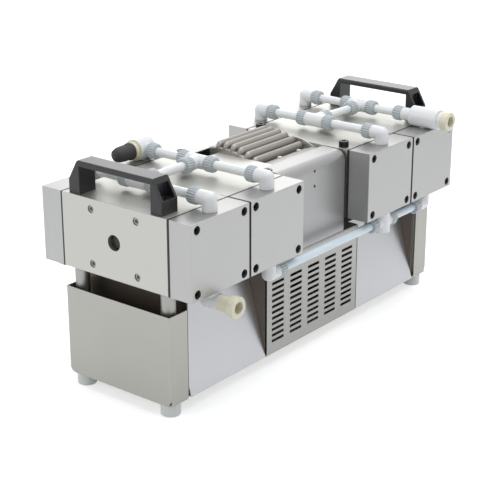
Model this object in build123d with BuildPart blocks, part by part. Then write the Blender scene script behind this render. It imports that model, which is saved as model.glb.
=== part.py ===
from build123d import *
import math
import os

# ---- driving sizes, mm ------------------------------------------------
pump_length = 604.0
crank_height = 218.0
block_half_height = 50.0
head_pitch = 113.0
head_gap = 1.2
head_thickness = 36.0
plate_width = 180.0
plate_thickness = 8.0
seat_gap = 0.1
side_gap = 0.3

# crank housings
end_wall = 14.0
roof_wall = 11.0
side_wall = 17.0
rod_window_radius = 33.0

# pump heads
head_screw_y = 44.8
head_screw_z = 41.0
head_screw_bore_radius = 3.4
head_screw_sink_radius = 5.75
head_screw_sink_depth = 9.0
head_edge_round = 1.2
head_port_radius = 6.2
head_port_x = 108.0
valve_chamber_radius = 12.0
valve_chamber_offset = 18.0
valve_chamber_depth = 12.0

# diaphragm, valve plate and valves
diaphragm_radius = 40.0
diaphragm_thickness = 2.0
diaphragm_bore_radius = 5.0
bead_inset = 9.0
bead_width = 4.0
bead_rise = 0.3
chamber_radius = 34.5
chamber_depth = 6.9
valve_plate_thickness = 5.0
valve_disc_radius = 8.0
valve_disc_thickness = 1.0

# head screws
screw_head_radius = 5.0
screw_head_height = 6.0
screw_shank_radius = 3.0
screw_socket_radius = 2.9
screw_grip_in_housing = 12.0

# cover plates
plate_screw_x = 38.3
plate_screw_z = 36.4
plate_screw_head_radius = 5.0
plate_screw_recess = 1.5
plate_screw_shank_radius = 2.5
shaft_window_radius = 10.5

# crankshaft drive
shaft_radius = 10.0
throw = 3.0
eccentric_radius = 15.0
eccentric_length = 24.0
big_end_bearing_outer_radius = 21.0
rod_running_gap = 0.06
rod_eye_radius = 27.0
rod_eye_thickness = 10.0
rod_eye_gap = 0.8
rod_shank_height = 20.0
rod_shank_thickness = 10.0
inner_disc_radius = 24.0
inner_disc_thickness = 4.5
outer_disc_radius = 20.0
outer_disc_thickness = 2.0
rod_stud_radius = 4.5
shaft_bearing_outer_radius = 20.0
shaft_bearing_width = 10.0
bearing_fit = 0.02
counterweight_radius = 31.0
counterweight_thickness = 12.0

# motor
motor_outer_radius = 50.5
motor_wall = 3.5
fin_tip_radius = 57.0
fin_count = 28
fin_thickness = 5.0
front_shield_length = 36.0
rear_shield_length = 2.0
motor_core_shift = 16.0
stator_inner_radius = 31.0
rotor_radius = 30.4
rotor_end_inset = 40.0
stator_end_inset = 38.0
shield_width = 112.0
shield_top_inset = 2.0
shield_drop = 8.0
fan_radius = 42.0
fan_hub_radius = 15.0
fan_blades = 9
fan_length = 16.0

# motor covers
sheet = 1.5
cover_half_width = 88.0
cover_bend = 15.0
cover_end_gap = 4.0
cover_opening_right = 49.0
cover_opening_left = 69.0
cover_lip = 14.0
cover_side_hole_radius = 2.0
cover_side_hole_inset = 13.0
cover_side_hole_spacing = 21.0

# base
base_half_width = 88.6
base_bottom = 18.0
post_gap = 28.0
deck_rise = 10.0
cap_depth = 34.0
cap_corner = 8.0
panel_lean = 33.0
bulkhead_inset = 38.5
grille_overreach = 31.5
grille_side_margin = 5.75
grille_return = 45.0
slot_rows = 11
slot_columns = 5
slot_bridge = 14.2
slot_height = 2.8
slot_row_pitch = 8.35
slot_top_inset = 20.0
grille_hole_inset = 9.0
deck_hole_spacing = 60.0
deck_hole_radius = 12.0
grille_hole_radius = 1.8

# posts and feet
post_radius = 9.7
post_side_inset = 14.6
post_end_inset = 16.0
foot_radius = 13.0
foot_edge = 2.0

# handles
handle_half_span = 78.0
handle_width = 28.5
handle_end_inset = 3.5
handle_height = 44.0
handle_leg = 18.0
handle_leg_straight = 18.0
handle_shoulder_inset = 15.0
handle_bar = 7.0
handle_pocket_wall = 3.5
handle_pocket_length = 24.0

# corner cap screws
tie_screw_x = 74.0
tie_screw_inset = 12.0
tie_screw_head_radius = 7.0
tie_screw_head_height = 8.0
tie_screw_shank_radius = 4.0
tie_screw_socket_radius = 3.4
tie_screw_grip = 13.0

# pipework
tube_radius = 6.0
tube_bore_radius = 4.0
top_pipe_rise = 15.0
low_pipe_drop = 16.0
low_pipe_x = 112.0
tee_x = -7.0
fitting_radius = 9.5
stem_radius = 6.0
stem_depth = 10.0
stem_bore_radius = 3.4
nut_radius = 11.0
nut_length = 14.0
port_reach = 45.0
port_body_radius = 15.0
port_neck_radius = 12.0
port_ring_radius = 14.0
port_bore_radius = 8.0
port_bore_depth = 24.0
port_ring_length = 10.0
cap_wall = 2.0
cap_length = 36.0
cap_tip_radius = 9.5
cap_running_gap = 0.1

# mains inlet and rocker switch
inlet_y = 50.0
inlet_drop = 48.0
inlet_width = 30.0
inlet_tall = 22.0
switch_y = 8.0
rocker_half_length = 10.0
rocker_half_width = 6.5
rocker_pivot_depth = 5.0

# ---- values that follow from them --------------------------------------
half_length = pump_length / 2
block_bottom = crank_height - block_half_height
block_top = crank_height + block_half_height
base_top = block_bottom - post_gap
deck_top = base_top + deck_rise
head_centre_outer = half_length - head_pitch / 2
head_centre_inner = half_length - 1.5 * head_pitch
head_rows = [-head_centre_outer, -head_centre_inner, head_centre_inner, head_centre_outer]
row_names = ["1", "2", "3", "4"]
throw_angles = [90.0, 270.0, 270.0, 90.0]
head_length = head_pitch - head_gap
block_height = block_top - block_bottom
housing_half_width = plate_width / 2 - 0.2
motor_end = half_length - 2 * head_pitch
motor_fin_front = front_shield_length - motor_end
motor_fin_rear = motor_end - rear_shield_length
rotor_length = 2 * (motor_end - rotor_end_inset)
stator_length = 2 * (motor_end - stator_end_inset)
shield_top = block_top - shield_top_inset
shield_bottom = block_bottom - shield_drop
cover_side_hole_high = block_top - cover_side_hole_inset
cover_side_hole_low = cover_side_hole_high - cover_side_hole_spacing
grille_half_length = motor_end + grille_overreach
slot_column_pitch = 2 * (grille_half_length - grille_side_margin) / slot_columns
slot_length = slot_column_pitch - slot_bridge
slot_first_height = base_top - slot_top_inset
grille_hole_height = base_top - grille_hole_inset
top_pipe_height = block_top + top_pipe_rise
low_pipe_height = block_bottom - low_pipe_drop
inlet_height = base_top - inlet_drop
head_inner_x = plate_width / 2
head_outer_x = head_inner_x + head_thickness
diaphragm_x = head_inner_x + seat_gap
chamber_x = diaphragm_x + diaphragm_thickness + seat_gap
valve_plate_x = chamber_x + chamber_depth
valve_chamber_x = valve_plate_x + valve_plate_thickness
port_face_x = head_port_x + port_reach
post_x = base_half_width - post_side_inset
post_y = half_length - post_end_inset
handle_y = half_length - handle_end_inset - handle_width / 2

os.makedirs("parts", exist_ok=True)


def save(shape, name):
    shape.label = name
    export_step(shape, "parts/" + name + ".step")


def group(shapes):
    return Compound(children=[shape for shape in shapes])


def solids_at(shape, places):
    pieces = []
    for place in places:
        for solid in (place * shape).solids():
            pieces.append(solid)
    return pieces


def mirrored(shape):
    return mirror(shape, about=Plane.YZ)


def turned_end(shape):
    return Rot(0, 0, 180) * shape


def along_y(x, y, z):
    return Plane(origin=(x, y, z), x_dir=(1, 0, 0), z_dir=(0, 1, 0))


def along_x(x, y, z):
    return Plane(origin=(x, y, z), x_dir=(0, 1, 0), z_dir=(1, 0, 0))


def eccentric_centre(angle):
    turn = math.radians(angle)
    return throw * math.cos(turn), crank_height + throw * math.sin(turn)


# ======== base ==========================================================

# floor sheet of the base, with a clear hole over every foot bolt
tray_half_width = base_half_width - 2 * sheet - side_gap
tray_half_length = half_length - sheet - side_gap
with BuildPart() as base_floor:
    with BuildSketch(Plane.XY.offset(base_bottom)):
        Rectangle(2 * tray_half_width, 2 * tray_half_length)
        with GridLocations(2 * post_x, 2 * post_y, 2, 2):
            Circle(4.2, mode=Mode.SUBTRACT)
    extrude(amount=sheet)
save(base_floor.part, "base_floor")

# folded end cap: end face and two side flanges, lower corners rounded
with BuildPart() as end_cap:
    with BuildSketch(Plane.XY.offset(base_bottom)):
        with Locations((0, -half_length + cap_depth / 2)):
            Rectangle(2 * base_half_width, cap_depth)
        with Locations((0, -half_length + sheet + cap_depth / 2)):
            Rectangle(2 * (base_half_width - sheet), cap_depth, mode=Mode.SUBTRACT)
    extrude(amount=base_top - base_bottom)
    corner_edges = end_cap.edges().filter_by(Axis.Z).group_by(Axis.Y)[0]
    fillet(corner_edges.sort_by(Axis.X)[0], radius=sheet)
    corner_edges = end_cap.edges().filter_by(Axis.Z).group_by(Axis.Y)[0]
    with BuildSketch(along_y(0, -half_length - 1, 0)):
        for side in (-1, 1):
            with BuildLine():
                Polyline(
                    (side * base_half_width, -base_bottom - cap_corner),
                    (side * (base_half_width - 0.35 * cap_corner), -base_bottom - 0.35 * cap_corner),
                    (side * (base_half_width - cap_corner), -base_bottom),
                    (side * base_half_width, -base_bottom),
                    close=True,
                )
            make_face()
    extrude(amount=4, mode=Mode.SUBTRACT)
save(end_cap.part, "end_cap_front")
save(turned_end(end_cap.part), "end_cap_rear")

# cross walls that close each end cap into a box
bulkhead_y = half_length - bulkhead_inset
with BuildPart() as bulkhead:
    with BuildSketch(Plane.XY.offset(base_bottom + sheet + side_gap)):
        with Locations((0, -bulkhead_y)):
            Rectangle(2 * tray_half_width, sheet)
    extrude(amount=base_top - base_bottom - sheet - side_gap)
save(group(solids_at(bulkhead.part, [Pos(0, 0, 0), Rot(0, 0, 180)])), "bulkheads")

# side sheets that lean inward towards the top
panel_front = -bulkhead_y + sheet / 2 + side_gap
panel_rear = -grille_half_length - side_gap
with BuildPart() as side_panel:
    with BuildSketch(along_y(0, panel_front, 0)):
        with BuildLine():
            Polyline(
                (base_half_width, -base_bottom),
                (base_half_width - panel_lean, -base_top),
                (base_half_width - panel_lean - 12, -base_top),
                (base_half_width - panel_lean - 12, -base_top + sheet),
                (base_half_width - panel_lean - sheet, -base_top + sheet),
                (base_half_width - sheet, -base_bottom),
                close=True,
            )
        make_face()
    extrude(amount=panel_rear - panel_front)
panel_left = mirrored(side_panel.part)
panel_turns = [Pos(0, 0, 0), Rot(0, 0, 180)]
save(group(solids_at(side_panel.part, panel_turns) + solids_at(panel_left, panel_turns)), "side_panels")

# slotted ventilation panel with its two folded side walls
with BuildPart() as grille_panel:
    with BuildSketch(Plane.XY.offset(base_bottom)):
        with Locations((base_half_width - grille_return / 2, 0)):
            Rectangle(grille_return, 2 * grille_half_length)
        with Locations((base_half_width - sheet - grille_return / 2, 0)):
            Rectangle(grille_return, 2 * (grille_half_length - sheet), mode=Mode.SUBTRACT)
    extrude(amount=deck_top - sheet - side_gap - base_bottom)
    with BuildSketch(Plane.XY.offset(base_bottom - 1)):
        with Locations((base_half_width - sheet - grille_return / 2 - side_gap, 0)):
            Rectangle(grille_return, 2 * grille_half_length + 2)
    extrude(amount=1 + sheet + side_gap, mode=Mode.SUBTRACT)
    slot_middle = slot_first_height - slot_row_pitch * (slot_rows - 1) / 2
    with BuildSketch(along_x(base_half_width - 5, 0, 0)):
        with Locations((0, slot_middle)):
            with GridLocations(slot_column_pitch, slot_row_pitch, slot_columns, slot_rows):
                Rectangle(slot_length, slot_height)
        with Locations((0, grille_hole_height)):
            Circle(grille_hole_radius)
    extrude(amount=10, mode=Mode.SUBTRACT)
save(grille_panel.part, "grille_panel_right")

# the far side's panel leaves its middle free for the mains inlet and switch
with BuildPart() as grille_panel_far:
    add(mirrored(grille_panel.part))
    with BuildSketch(along_x(-base_half_width - 5, 0, 0)):
        with Locations((inlet_y, inlet_height)):
            Rectangle(inlet_width + 0.6, inlet_tall + 0.6)
        with Locations((switch_y, inlet_height)):
            Rectangle(2 * rocker_half_length + 5.6, 2 * rocker_half_width + 5.6)
    extrude(amount=10, mode=Mode.SUBTRACT)
save(grille_panel_far.part, "grille_panel_left")

# deck sheet over the ventilation box, under the motor
with BuildPart() as motor_deck:
    with BuildSketch(Plane.XY.offset(deck_top - sheet)):
        Rectangle(2 * base_half_width, 2 * grille_half_length)
        with GridLocations(deck_hole_spacing, deck_hole_spacing, 2, 2):
            Circle(deck_hole_radius, mode=Mode.SUBTRACT)
    extrude(amount=sheet)
save(motor_deck.part, "motor_deck")

# round posts that carry the pump above the base, each with its foot bolt
with BuildPart() as post:
    with BuildSketch(Plane.XY.offset(base_bottom + sheet)):
        Circle(post_radius)
    extrude(amount=block_bottom - base_bottom - sheet - seat_gap)
    with BuildSketch(Plane.XY.offset(base_bottom - 8)):
        Circle(4.0)
    extrude(amount=8 + sheet)
foot_places = [Pos(x, y, 0) for x in (-post_x, post_x) for y in (-post_y, post_y)]
save(group(solids_at(post.part, foot_places)), "support_posts")

with BuildPart() as foot:
    with BuildSketch():
        Circle(foot_radius)
    extrude(amount=base_bottom - seat_gap)
    fillet(foot.edges().group_by(Axis.Z)[0], radius=foot_edge)
    with BuildSketch(Plane.XY.offset(base_bottom - 8.2)):
        Circle(4.1)
    extrude(amount=10, mode=Mode.SUBTRACT)
save(group(solids_at(foot.part, foot_places)), "feet")

# ======== crank housings =================================================
housing_front = -half_length + plate_thickness + seat_gap
housing_rear = -motor_end
housing_length = housing_rear - housing_front
cavity_length = housing_length - end_wall
with BuildPart() as crank_housing:
    with BuildSketch(Plane.XY.offset(block_bottom)):
        with Locations((0, housing_front + housing_length / 2)):
            Rectangle(2 * housing_half_width, housing_length)
    extrude(amount=block_height)
    fillet(crank_housing.edges().filter_by(Axis.Y).group_by(Axis.Z)[-1], radius=0.8)
    with BuildSketch(Plane.XY.offset(block_bottom + roof_wall)):
        with Locations((0, housing_front + cavity_length / 2 - 1)):
            Rectangle(2 * (housing_half_width - side_wall), cavity_length + 2)
    extrude(amount=block_height - 2 * roof_wall, mode=Mode.SUBTRACT)
    with BuildSketch(along_x(-housing_half_width - 1, 0, crank_height)):
        for row in head_rows[:2]:
            with Locations((row, 0)):
                Circle(rod_window_radius)
                with GridLocations(2 * head_screw_y, 2 * head_screw_z, 2, 2):
                    Circle(screw_shank_radius)
    extrude(amount=2 * housing_half_width + 2, mode=Mode.SUBTRACT)
    with BuildSketch(along_y(0, housing_rear + 1, crank_height)):
        Circle(shaft_bearing_outer_radius)
    extrude(amount=-end_wall - 2, mode=Mode.SUBTRACT)
    with BuildSketch(along_y(0, housing_front - 1, crank_height)):
        with GridLocations(2 * plate_screw_x, 2 * plate_screw_z, 2, 2):
            Circle(9)
    extrude(amount=16)
    with BuildSketch(along_y(0, housing_front - 1, crank_height)):
        Rectangle(2 * housing_half_width + 2, block_height + 2)
    extrude(amount=1, mode=Mode.SUBTRACT)
    with BuildSketch(along_y(0, housing_front - 1, crank_height)):
        with GridLocations(2 * plate_screw_x, 2 * plate_screw_z, 2, 2):
            Circle(plate_screw_shank_radius)
    extrude(amount=15, mode=Mode.SUBTRACT)
    with BuildSketch(Plane.XY.offset(block_top - 14)):
        for side in (-1, 1):
            with Locations((side * tie_screw_x, housing_rear - tie_screw_inset)):
                Circle(tie_screw_shank_radius)
    extrude(amount=15, mode=Mode.SUBTRACT)
    with BuildSketch(Plane.XY.offset(block_top - 1)):
        for side in (-1, 1):
            with Locations((side * (housing_half_width - 6.5), housing_front + head_pitch - plate_thickness)):
                Rectangle(13.2, head_gap)
    extrude(amount=2, mode=Mode.SUBTRACT)
save(crank_housing.part, "crank_housing_front")
save(turned_end(crank_housing.part), "crank_housing_rear")

# cover plate at the outer end: clearance holes, shaft window, bearing seat
with BuildPart() as cover_plate:
    with BuildSketch(along_y(0, -half_length, crank_height)):
        Rectangle(2 * housing_half_width, block_height)
    extrude(amount=plate_thickness)
    chamfer(cover_plate.faces().sort_by(Axis.Y)[0].edges(), length=0.6)
    with BuildSketch(along_y(0, -half_length + plate_thickness - 1, crank_height)):
        Circle(shaft_bearing_outer_radius + 6)
    extrude(amount=shaft_bearing_width + 3)
    with BuildSketch(along_y(0, -half_length + plate_thickness, crank_height)):
        Circle(shaft_bearing_outer_radius)
    extrude(amount=shaft_bearing_width + 3, mode=Mode.SUBTRACT)
    with BuildSketch(along_y(0, -half_length - 1, crank_height)):
        Circle(shaft_window_radius)
        with GridLocations(2 * plate_screw_x, 2 * plate_screw_z, 2, 2):
            Circle(plate_screw_shank_radius)
    extrude(amount=plate_thickness + 2, mode=Mode.SUBTRACT)
    with BuildSketch(along_y(0, -half_length - 1, crank_height)):
        with GridLocations(2 * plate_screw_x, 2 * plate_screw_z, 2, 2):
            Circle(plate_screw_head_radius + 0.2)
    extrude(amount=1 + plate_screw_recess + 4, mode=Mode.SUBTRACT)
save(cover_plate.part, "cover_plate_front")
save(turned_end(cover_plate.part), "cover_plate_rear")

with BuildPart() as plate_screw:
    with BuildSketch(along_y(0, -half_length + plate_screw_recess, 0)):
        Circle(plate_screw_head_radius)
    extrude(amount=4 - seat_gap)
    with BuildSketch(along_y(0, -half_length + plate_screw_recess, 0)):
        Circle(plate_screw_shank_radius - 0.05)
    extrude(amount=17)
    with BuildSketch(along_y(0, -half_length + plate_screw_recess - 1, 0)):
        RegularPolygon(screw_socket_radius, 6)
    extrude(amount=3.2, mode=Mode.SUBTRACT)
plate_places = []
for turn in (Rot(0, 0, 0), Rot(0, 0, 180)):
    for x in (-plate_screw_x, plate_screw_x):
        for z in (-plate_screw_z, plate_screw_z):
            plate_places.append(turn * Pos(x, 0, crank_height + z))
save(group(solids_at(plate_screw.part, plate_places)), "plate_screws")

# ======== pump heads =====================================================
with BuildPart() as head:
    with BuildSketch(along_x(head_inner_x, 0, crank_height)):
        Rectangle(head_length, block_height)
    extrude(amount=head_thickness)
    fillet(head.faces().sort_by(Axis.X)[-1].edges(), radius=head_edge_round)
    with BuildSketch(along_x(head_inner_x - 1, 0, crank_height)):
        Circle(diaphragm_radius + side_gap)
    extrude(amount=1 + chamber_x - head_inner_x, mode=Mode.SUBTRACT)
    with BuildSketch(along_x(head_inner_x, 0, crank_height)):
        Circle(chamber_radius)
    extrude(amount=valve_chamber_x - head_inner_x + seat_gap, mode=Mode.SUBTRACT)
    with BuildSketch(along_x(valve_chamber_x, 0, crank_height)):
        with GridLocations(0, 2 * valve_chamber_offset, 1, 2):
            Circle(valve_chamber_radius)
    extrude(amount=valve_chamber_depth, mode=Mode.SUBTRACT)
    with BuildSketch(Plane.XY.offset(crank_height + valve_chamber_offset)):
        with Locations((head_port_x, 0)):
            Circle(head_port_radius)
    extrude(amount=block_height, mode=Mode.SUBTRACT)
    with BuildSketch(Plane.XY.offset(crank_height - valve_chamber_offset)):
        with Locations((low_pipe_x, 0)):
            Circle(head_port_radius)
    extrude(amount=-block_height, mode=Mode.SUBTRACT)
    with BuildSketch(along_x(head_inner_x - 1, 0, crank_height)):
        with GridLocations(2 * head_screw_y, 2 * head_screw_z, 2, 2):
            Circle(head_screw_bore_radius)
    extrude(amount=head_thickness + 2, mode=Mode.SUBTRACT)
    with BuildSketch(along_x(head_outer_x - head_screw_sink_depth, 0, crank_height)):
        with GridLocations(2 * head_screw_y, 2 * head_screw_z, 2, 2):
            Circle(head_screw_sink_radius)
    extrude(amount=head_screw_sink_depth + 1, mode=Mode.SUBTRACT)
head_left = mirrored(head.part)
for name, row in zip(row_names, head_rows):
    save(Pos(0, row, 0) * head.part, "head_right_" + name)
    save(Pos(0, row, 0) * head_left, "head_left_" + name)

with BuildPart() as head_screw:
    screw_seat = head_outer_x - head_screw_sink_depth + seat_gap
    with BuildSketch(along_x(screw_seat, 0, 0)):
        Circle(screw_head_radius)
    extrude(amount=screw_head_height)
    fillet(head_screw.edges().group_by(Axis.X)[-1], radius=0.5)
    with BuildSketch(along_x(head_inner_x - screw_grip_in_housing, 0, 0)):
        Circle(screw_shank_radius - 0.05)
    extrude(amount=screw_seat - head_inner_x + screw_grip_in_housing)
    with BuildSketch(along_x(screw_seat + screw_head_height - 3.2, 0, 0)):
        RegularPolygon(screw_socket_radius, 6)
    extrude(amount=4, mode=Mode.SUBTRACT)
screw_places = []
for row in head_rows:
    for y in (-head_screw_y, head_screw_y):
        for z in (-head_screw_z, head_screw_z):
            screw_places.append(Pos(0, row + y, crank_height + z))
screws_right = solids_at(head_screw.part, screw_places)
screws_left = solids_at(mirrored(head_screw.part), screw_places)
save(group(screws_right + screws_left), "head_screws")

# moulded diaphragm: flat clamped rim, one rolled bead, bore on the rod's stud
row_places = [Pos(0, row, 0) for row in head_rows]
diaphragm_solids = []
for row, angle in zip(head_rows, throw_angles):
    stud_rise = throw * math.sin(math.radians(angle))
    with BuildPart() as diaphragm:
        with BuildSketch(along_x(diaphragm_x, row, crank_height)):
            Circle(diaphragm_radius)
            with Locations((0, stud_rise)):
                Circle(diaphragm_bore_radius, mode=Mode.SUBTRACT)
        extrude(amount=diaphragm_thickness)
        with BuildSketch(along_x(diaphragm_x + diaphragm_thickness + bead_rise - 1, row, crank_height)):
            Circle(diaphragm_radius - bead_inset)
            Circle(diaphragm_radius - bead_inset - bead_width, mode=Mode.SUBTRACT)
        extrude(amount=1, mode=Mode.SUBTRACT)
    diaphragm_solids += diaphragm.part.solids() + mirrored(diaphragm.part).solids()
save(group(diaphragm_solids), "diaphragms")

# valve plate with an inlet seat above and an outlet seat below
with BuildPart() as valve_plate:
    with BuildSketch(along_x(valve_plate_x + seat_gap, 0, crank_height)):
        Circle(chamber_radius - 0.2)
        with GridLocations(0, 2 * valve_chamber_offset, 1, 2):
            with PolarLocations(4.6, 5):
                Circle(1.6, mode=Mode.SUBTRACT)
    extrude(amount=valve_plate_thickness - seat_gap)
    with BuildSketch(along_x(valve_plate_x, 0, crank_height)):
        with Locations((0, valve_chamber_offset)):
            Circle(valve_disc_radius + 1)
    extrude(amount=valve_disc_thickness + 1, mode=Mode.SUBTRACT)
plate_left = mirrored(valve_plate.part)
save(group(solids_at(valve_plate.part, row_places) + solids_at(plate_left, row_places)), "valve_plates")

with BuildPart() as valve_disc:
    with BuildSketch(along_x(valve_plate_x + 0.5, 0, crank_height + valve_chamber_offset)):
        Circle(valve_disc_radius)
    extrude(amount=valve_disc_thickness)
    with BuildSketch(along_x(valve_chamber_x + 0.3, 0, crank_height - valve_chamber_offset)):
        Circle(valve_disc_radius)
    extrude(amount=valve_disc_thickness)
disc_left = mirrored(valve_disc.part)
save(group(solids_at(valve_disc.part, row_places) + solids_at(disc_left, row_places)), "valve_discs")

# ======== crank drive ====================================================
shaft_end = half_length - plate_thickness + 2
with BuildPart() as crankshaft:
    with BuildSketch(along_y(0, -shaft_end, crank_height)):
        Circle(shaft_radius)
    extrude(amount=2 * shaft_end)
    chamfer(crankshaft.edges().group_by(Axis.Y)[0], length=1.5)
    chamfer(crankshaft.edges().group_by(Axis.Y)[-1], length=1.5)
    for row, angle in zip(head_rows, throw_angles):
        centre_x, centre_z = eccentric_centre(angle)
        with BuildSketch(along_y(centre_x, row - eccentric_length / 2, centre_z)):
            Circle(eccentric_radius)
        extrude(amount=eccentric_length)
save(crankshaft.part, "crankshaft")

with BuildPart() as big_end_bearing:
    with BuildSketch(along_y(0, rod_eye_gap / 2, 0)):
        Circle(big_end_bearing_outer_radius)
        Circle(eccentric_radius + bearing_fit, mode=Mode.SUBTRACT)
    extrude(amount=rod_eye_thickness)
bearing_solids = []
for row, angle in zip(head_rows, throw_angles):
    centre_x, centre_z = eccentric_centre(angle)
    back_shift = -rod_eye_gap - rod_eye_thickness
    bearing_solids += solids_at(big_end_bearing.part, [Pos(centre_x, row, centre_z)])
    bearing_solids += solids_at(big_end_bearing.part, [Pos(centre_x, row + back_shift, centre_z)])
save(group(bearing_solids), "big_end_bearings")

with BuildPart() as shaft_bearing:
    with BuildSketch(Plane.XZ):
        Circle(shaft_bearing_outer_radius - bearing_fit)
        Circle(shaft_radius + rod_running_gap, mode=Mode.SUBTRACT)
    extrude(amount=shaft_bearing_width / 2, both=True)
outer_bearing_y = half_length - plate_thickness - shaft_bearing_width / 2 - 1.5
inner_bearing_y = motor_end + end_wall / 2
bearing_places = []
for y in (outer_bearing_y, inner_bearing_y):
    bearing_places += [Pos(0, -y, crank_height), Pos(0, y, crank_height)]
save(group(solids_at(shaft_bearing.part, bearing_places)), "shaft_bearings")

# half-disc counterweights beside the eccentrics
with BuildPart() as counterweight:
    with BuildSketch(Plane.XZ):
        Circle(counterweight_radius)
        with Locations((counterweight_radius / 2 + 6, 0)):
            Rectangle(counterweight_radius + 0.01, 2 * counterweight_radius + 1, mode=Mode.SUBTRACT)
        Circle(shaft_radius + 6)
        Circle(shaft_radius + bearing_fit, mode=Mode.SUBTRACT)
    extrude(amount=counterweight_thickness / 2, both=True)
weight_solids = []
weight_step = (eccentric_length + counterweight_thickness) / 2 + 1.0
for row, angle in zip(head_rows, throw_angles):
    outer_row = abs(row) > head_centre_inner + 1
    towards_middle = -1 if row > 0 else 1
    weight_y = row + weight_step * (towards_middle if outer_row else -towards_middle)
    weight_solids += solids_at(counterweight.part, [Pos(0, weight_y, crank_height) * Rot(0, -angle, 0)])
save(group(weight_solids), "counterweights")

# connecting rod: big-end eye, shank and clamp discs on both diaphragm faces
with BuildPart() as rod:
    with BuildSketch(along_y(0, rod_eye_gap / 2, 0)):
        Circle(rod_eye_radius)
    extrude(amount=rod_eye_thickness)
    shank_start = rod_eye_radius + 3.0
    shank_end = diaphragm_x - seat_gap - inner_disc_thickness
    with BuildSketch(along_y(0, rod_eye_gap / 2, 0)):
        with Locations((shank_end / 2 + 1, 0)):
            Rectangle(shank_end + 2, rod_shank_height)
    extrude(amount=rod_shank_thickness / 2 - rod_eye_gap / 2)
    with BuildSketch(along_y(0, -rod_shank_thickness / 2, 0)):
        with Locations(((shank_start + shank_end) / 2 + 1, 0)):
            Rectangle(shank_end - shank_start + 2, rod_shank_height)
    extrude(amount=rod_shank_thickness)
    with BuildSketch(along_x(shank_end, 0, 0)):
        Circle(inner_disc_radius)
    extrude(amount=inner_disc_thickness - 0.2)
    with BuildSketch(along_x(shank_end, 0, 0)):
        Circle(rod_stud_radius)
    extrude(amount=chamber_x - shank_end + outer_disc_thickness)
    with BuildSketch(along_x(chamber_x + 0.1, 0, 0)):
        Circle(outer_disc_radius)
    extrude(amount=outer_disc_thickness)
    with BuildSketch(along_y(0, -rod_shank_thickness, 0)):
        Circle(big_end_bearing_outer_radius + rod_running_gap)
    extrude(amount=3 * rod_shank_thickness, mode=Mode.SUBTRACT)
rod_left = Rot(0, 0, 180) * rod.part
for name, row, angle in zip(row_names, head_rows, throw_angles):
    centre_x, centre_z = eccentric_centre(angle)
    save(Pos(centre_x, row, centre_z) * rod.part, "rod_right_" + name)
    save(Pos(centre_x, row, centre_z) * rod_left, "rod_left_" + name)

# ======== motor ==========================================================
motor_fin_length = motor_fin_rear - motor_fin_front
with BuildPart() as motor_housing:
    with BuildSketch(along_y(0, motor_fin_front, crank_height)):
        Circle(motor_outer_radius + motor_wall)
        with PolarLocations(fin_tip_radius - 3, fin_count, start_angle=90):
            RectangleRounded(6, fin_thickness, 1.2)
        Circle(motor_outer_radius, mode=Mode.SUBTRACT)
    extrude(amount=motor_fin_length)
save(motor_housing.part, "motor_housing")

with BuildPart() as stator:
    with BuildSketch(along_y(0, -stator_length / 2 + motor_core_shift, crank_height)):
        Circle(motor_outer_radius - 0.05)
        Circle(stator_inner_radius, mode=Mode.SUBTRACT)
        with PolarLocations(stator_inner_radius + 6, 12):
            RectangleRounded(9, 5, 1, mode=Mode.SUBTRACT)
    extrude(amount=stator_length)
save(stator.part, "stator")

with BuildPart() as rotor:
    with BuildSketch(along_y(0, -rotor_length / 2 + motor_core_shift, crank_height)):
        Circle(rotor_radius)
        Circle(shaft_radius + bearing_fit, mode=Mode.SUBTRACT)
    extrude(amount=rotor_length)
save(rotor.part, "rotor")

# front end shield: square flange, open inside as the fan's housing
with BuildPart() as end_shield_front:
    shield_middle = (shield_top + shield_bottom) / 2
    shield_front = -motor_end + seat_gap
    with BuildSketch(along_y(0, shield_front, shield_middle)):
        Rectangle(shield_width, shield_top - shield_bottom)
    extrude(amount=motor_fin_front - seat_gap - shield_front)
    fillet(end_shield_front.edges().filter_by(Axis.Y), radius=10)
    with BuildSketch(along_y(0, shield_front + 6, crank_height)):
        Circle(fan_radius + 3)
    extrude(amount=60, mode=Mode.SUBTRACT)
    with BuildSketch(along_y(0, shield_front - 1, crank_height)):
        Circle(shaft_bearing_outer_radius + 4)
    extrude(amount=20, mode=Mode.SUBTRACT)
with BuildPart() as end_shield_rear:
    with BuildSketch(along_y(0, motor_fin_rear + seat_gap, crank_height)):
        Circle(motor_outer_radius + motor_wall)
        Circle(shaft_bearing_outer_radius + 4, mode=Mode.SUBTRACT)
    extrude(amount=motor_end - motor_fin_rear - 2 * seat_gap)
save(group([end_shield_front.part, end_shield_rear.part]), "end_shields")

with BuildPart() as fan:
    fan_start = -motor_end + 12
    with BuildSketch(along_y(0, fan_start, crank_height)):
        Circle(fan_hub_radius)
        Circle(shaft_radius + bearing_fit, mode=Mode.SUBTRACT)
    extrude(amount=fan_length)
    with BuildSketch(along_y(0, fan_start, crank_height)):
        with PolarLocations((fan_hub_radius + fan_radius) / 2 - 1, fan_blades):
            Rectangle(fan_radius - fan_hub_radius + 2, 2)
    extrude(amount=fan_length)
save(fan.part, "cooling_fan")

# bent motor covers: side sheet, rounded shoulder, top flange, foot flange
cover_end = motor_end - cover_end_gap


def cover_profile(opening):
    outer = cover_half_width
    inner = cover_half_width - sheet
    top = block_top
    low = deck_top + 0.2
    with BuildLine() as line:
        Polyline((outer - cover_lip, low), (outer, low), (outer, top - cover_bend))
        RadiusArc((outer, top - cover_bend), (outer - cover_bend, top), -cover_bend)
        Polyline((outer - cover_bend, top), (opening, top), (opening, top - sheet), (outer - cover_bend, top - sheet))
        RadiusArc((outer - cover_bend, top - sheet), (inner, top - cover_bend), cover_bend - sheet)
        Polyline((inner, top - cover_bend), (inner, low + sheet), (outer - cover_lip, low + sheet), (outer - cover_lip, low))
    return line


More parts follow.
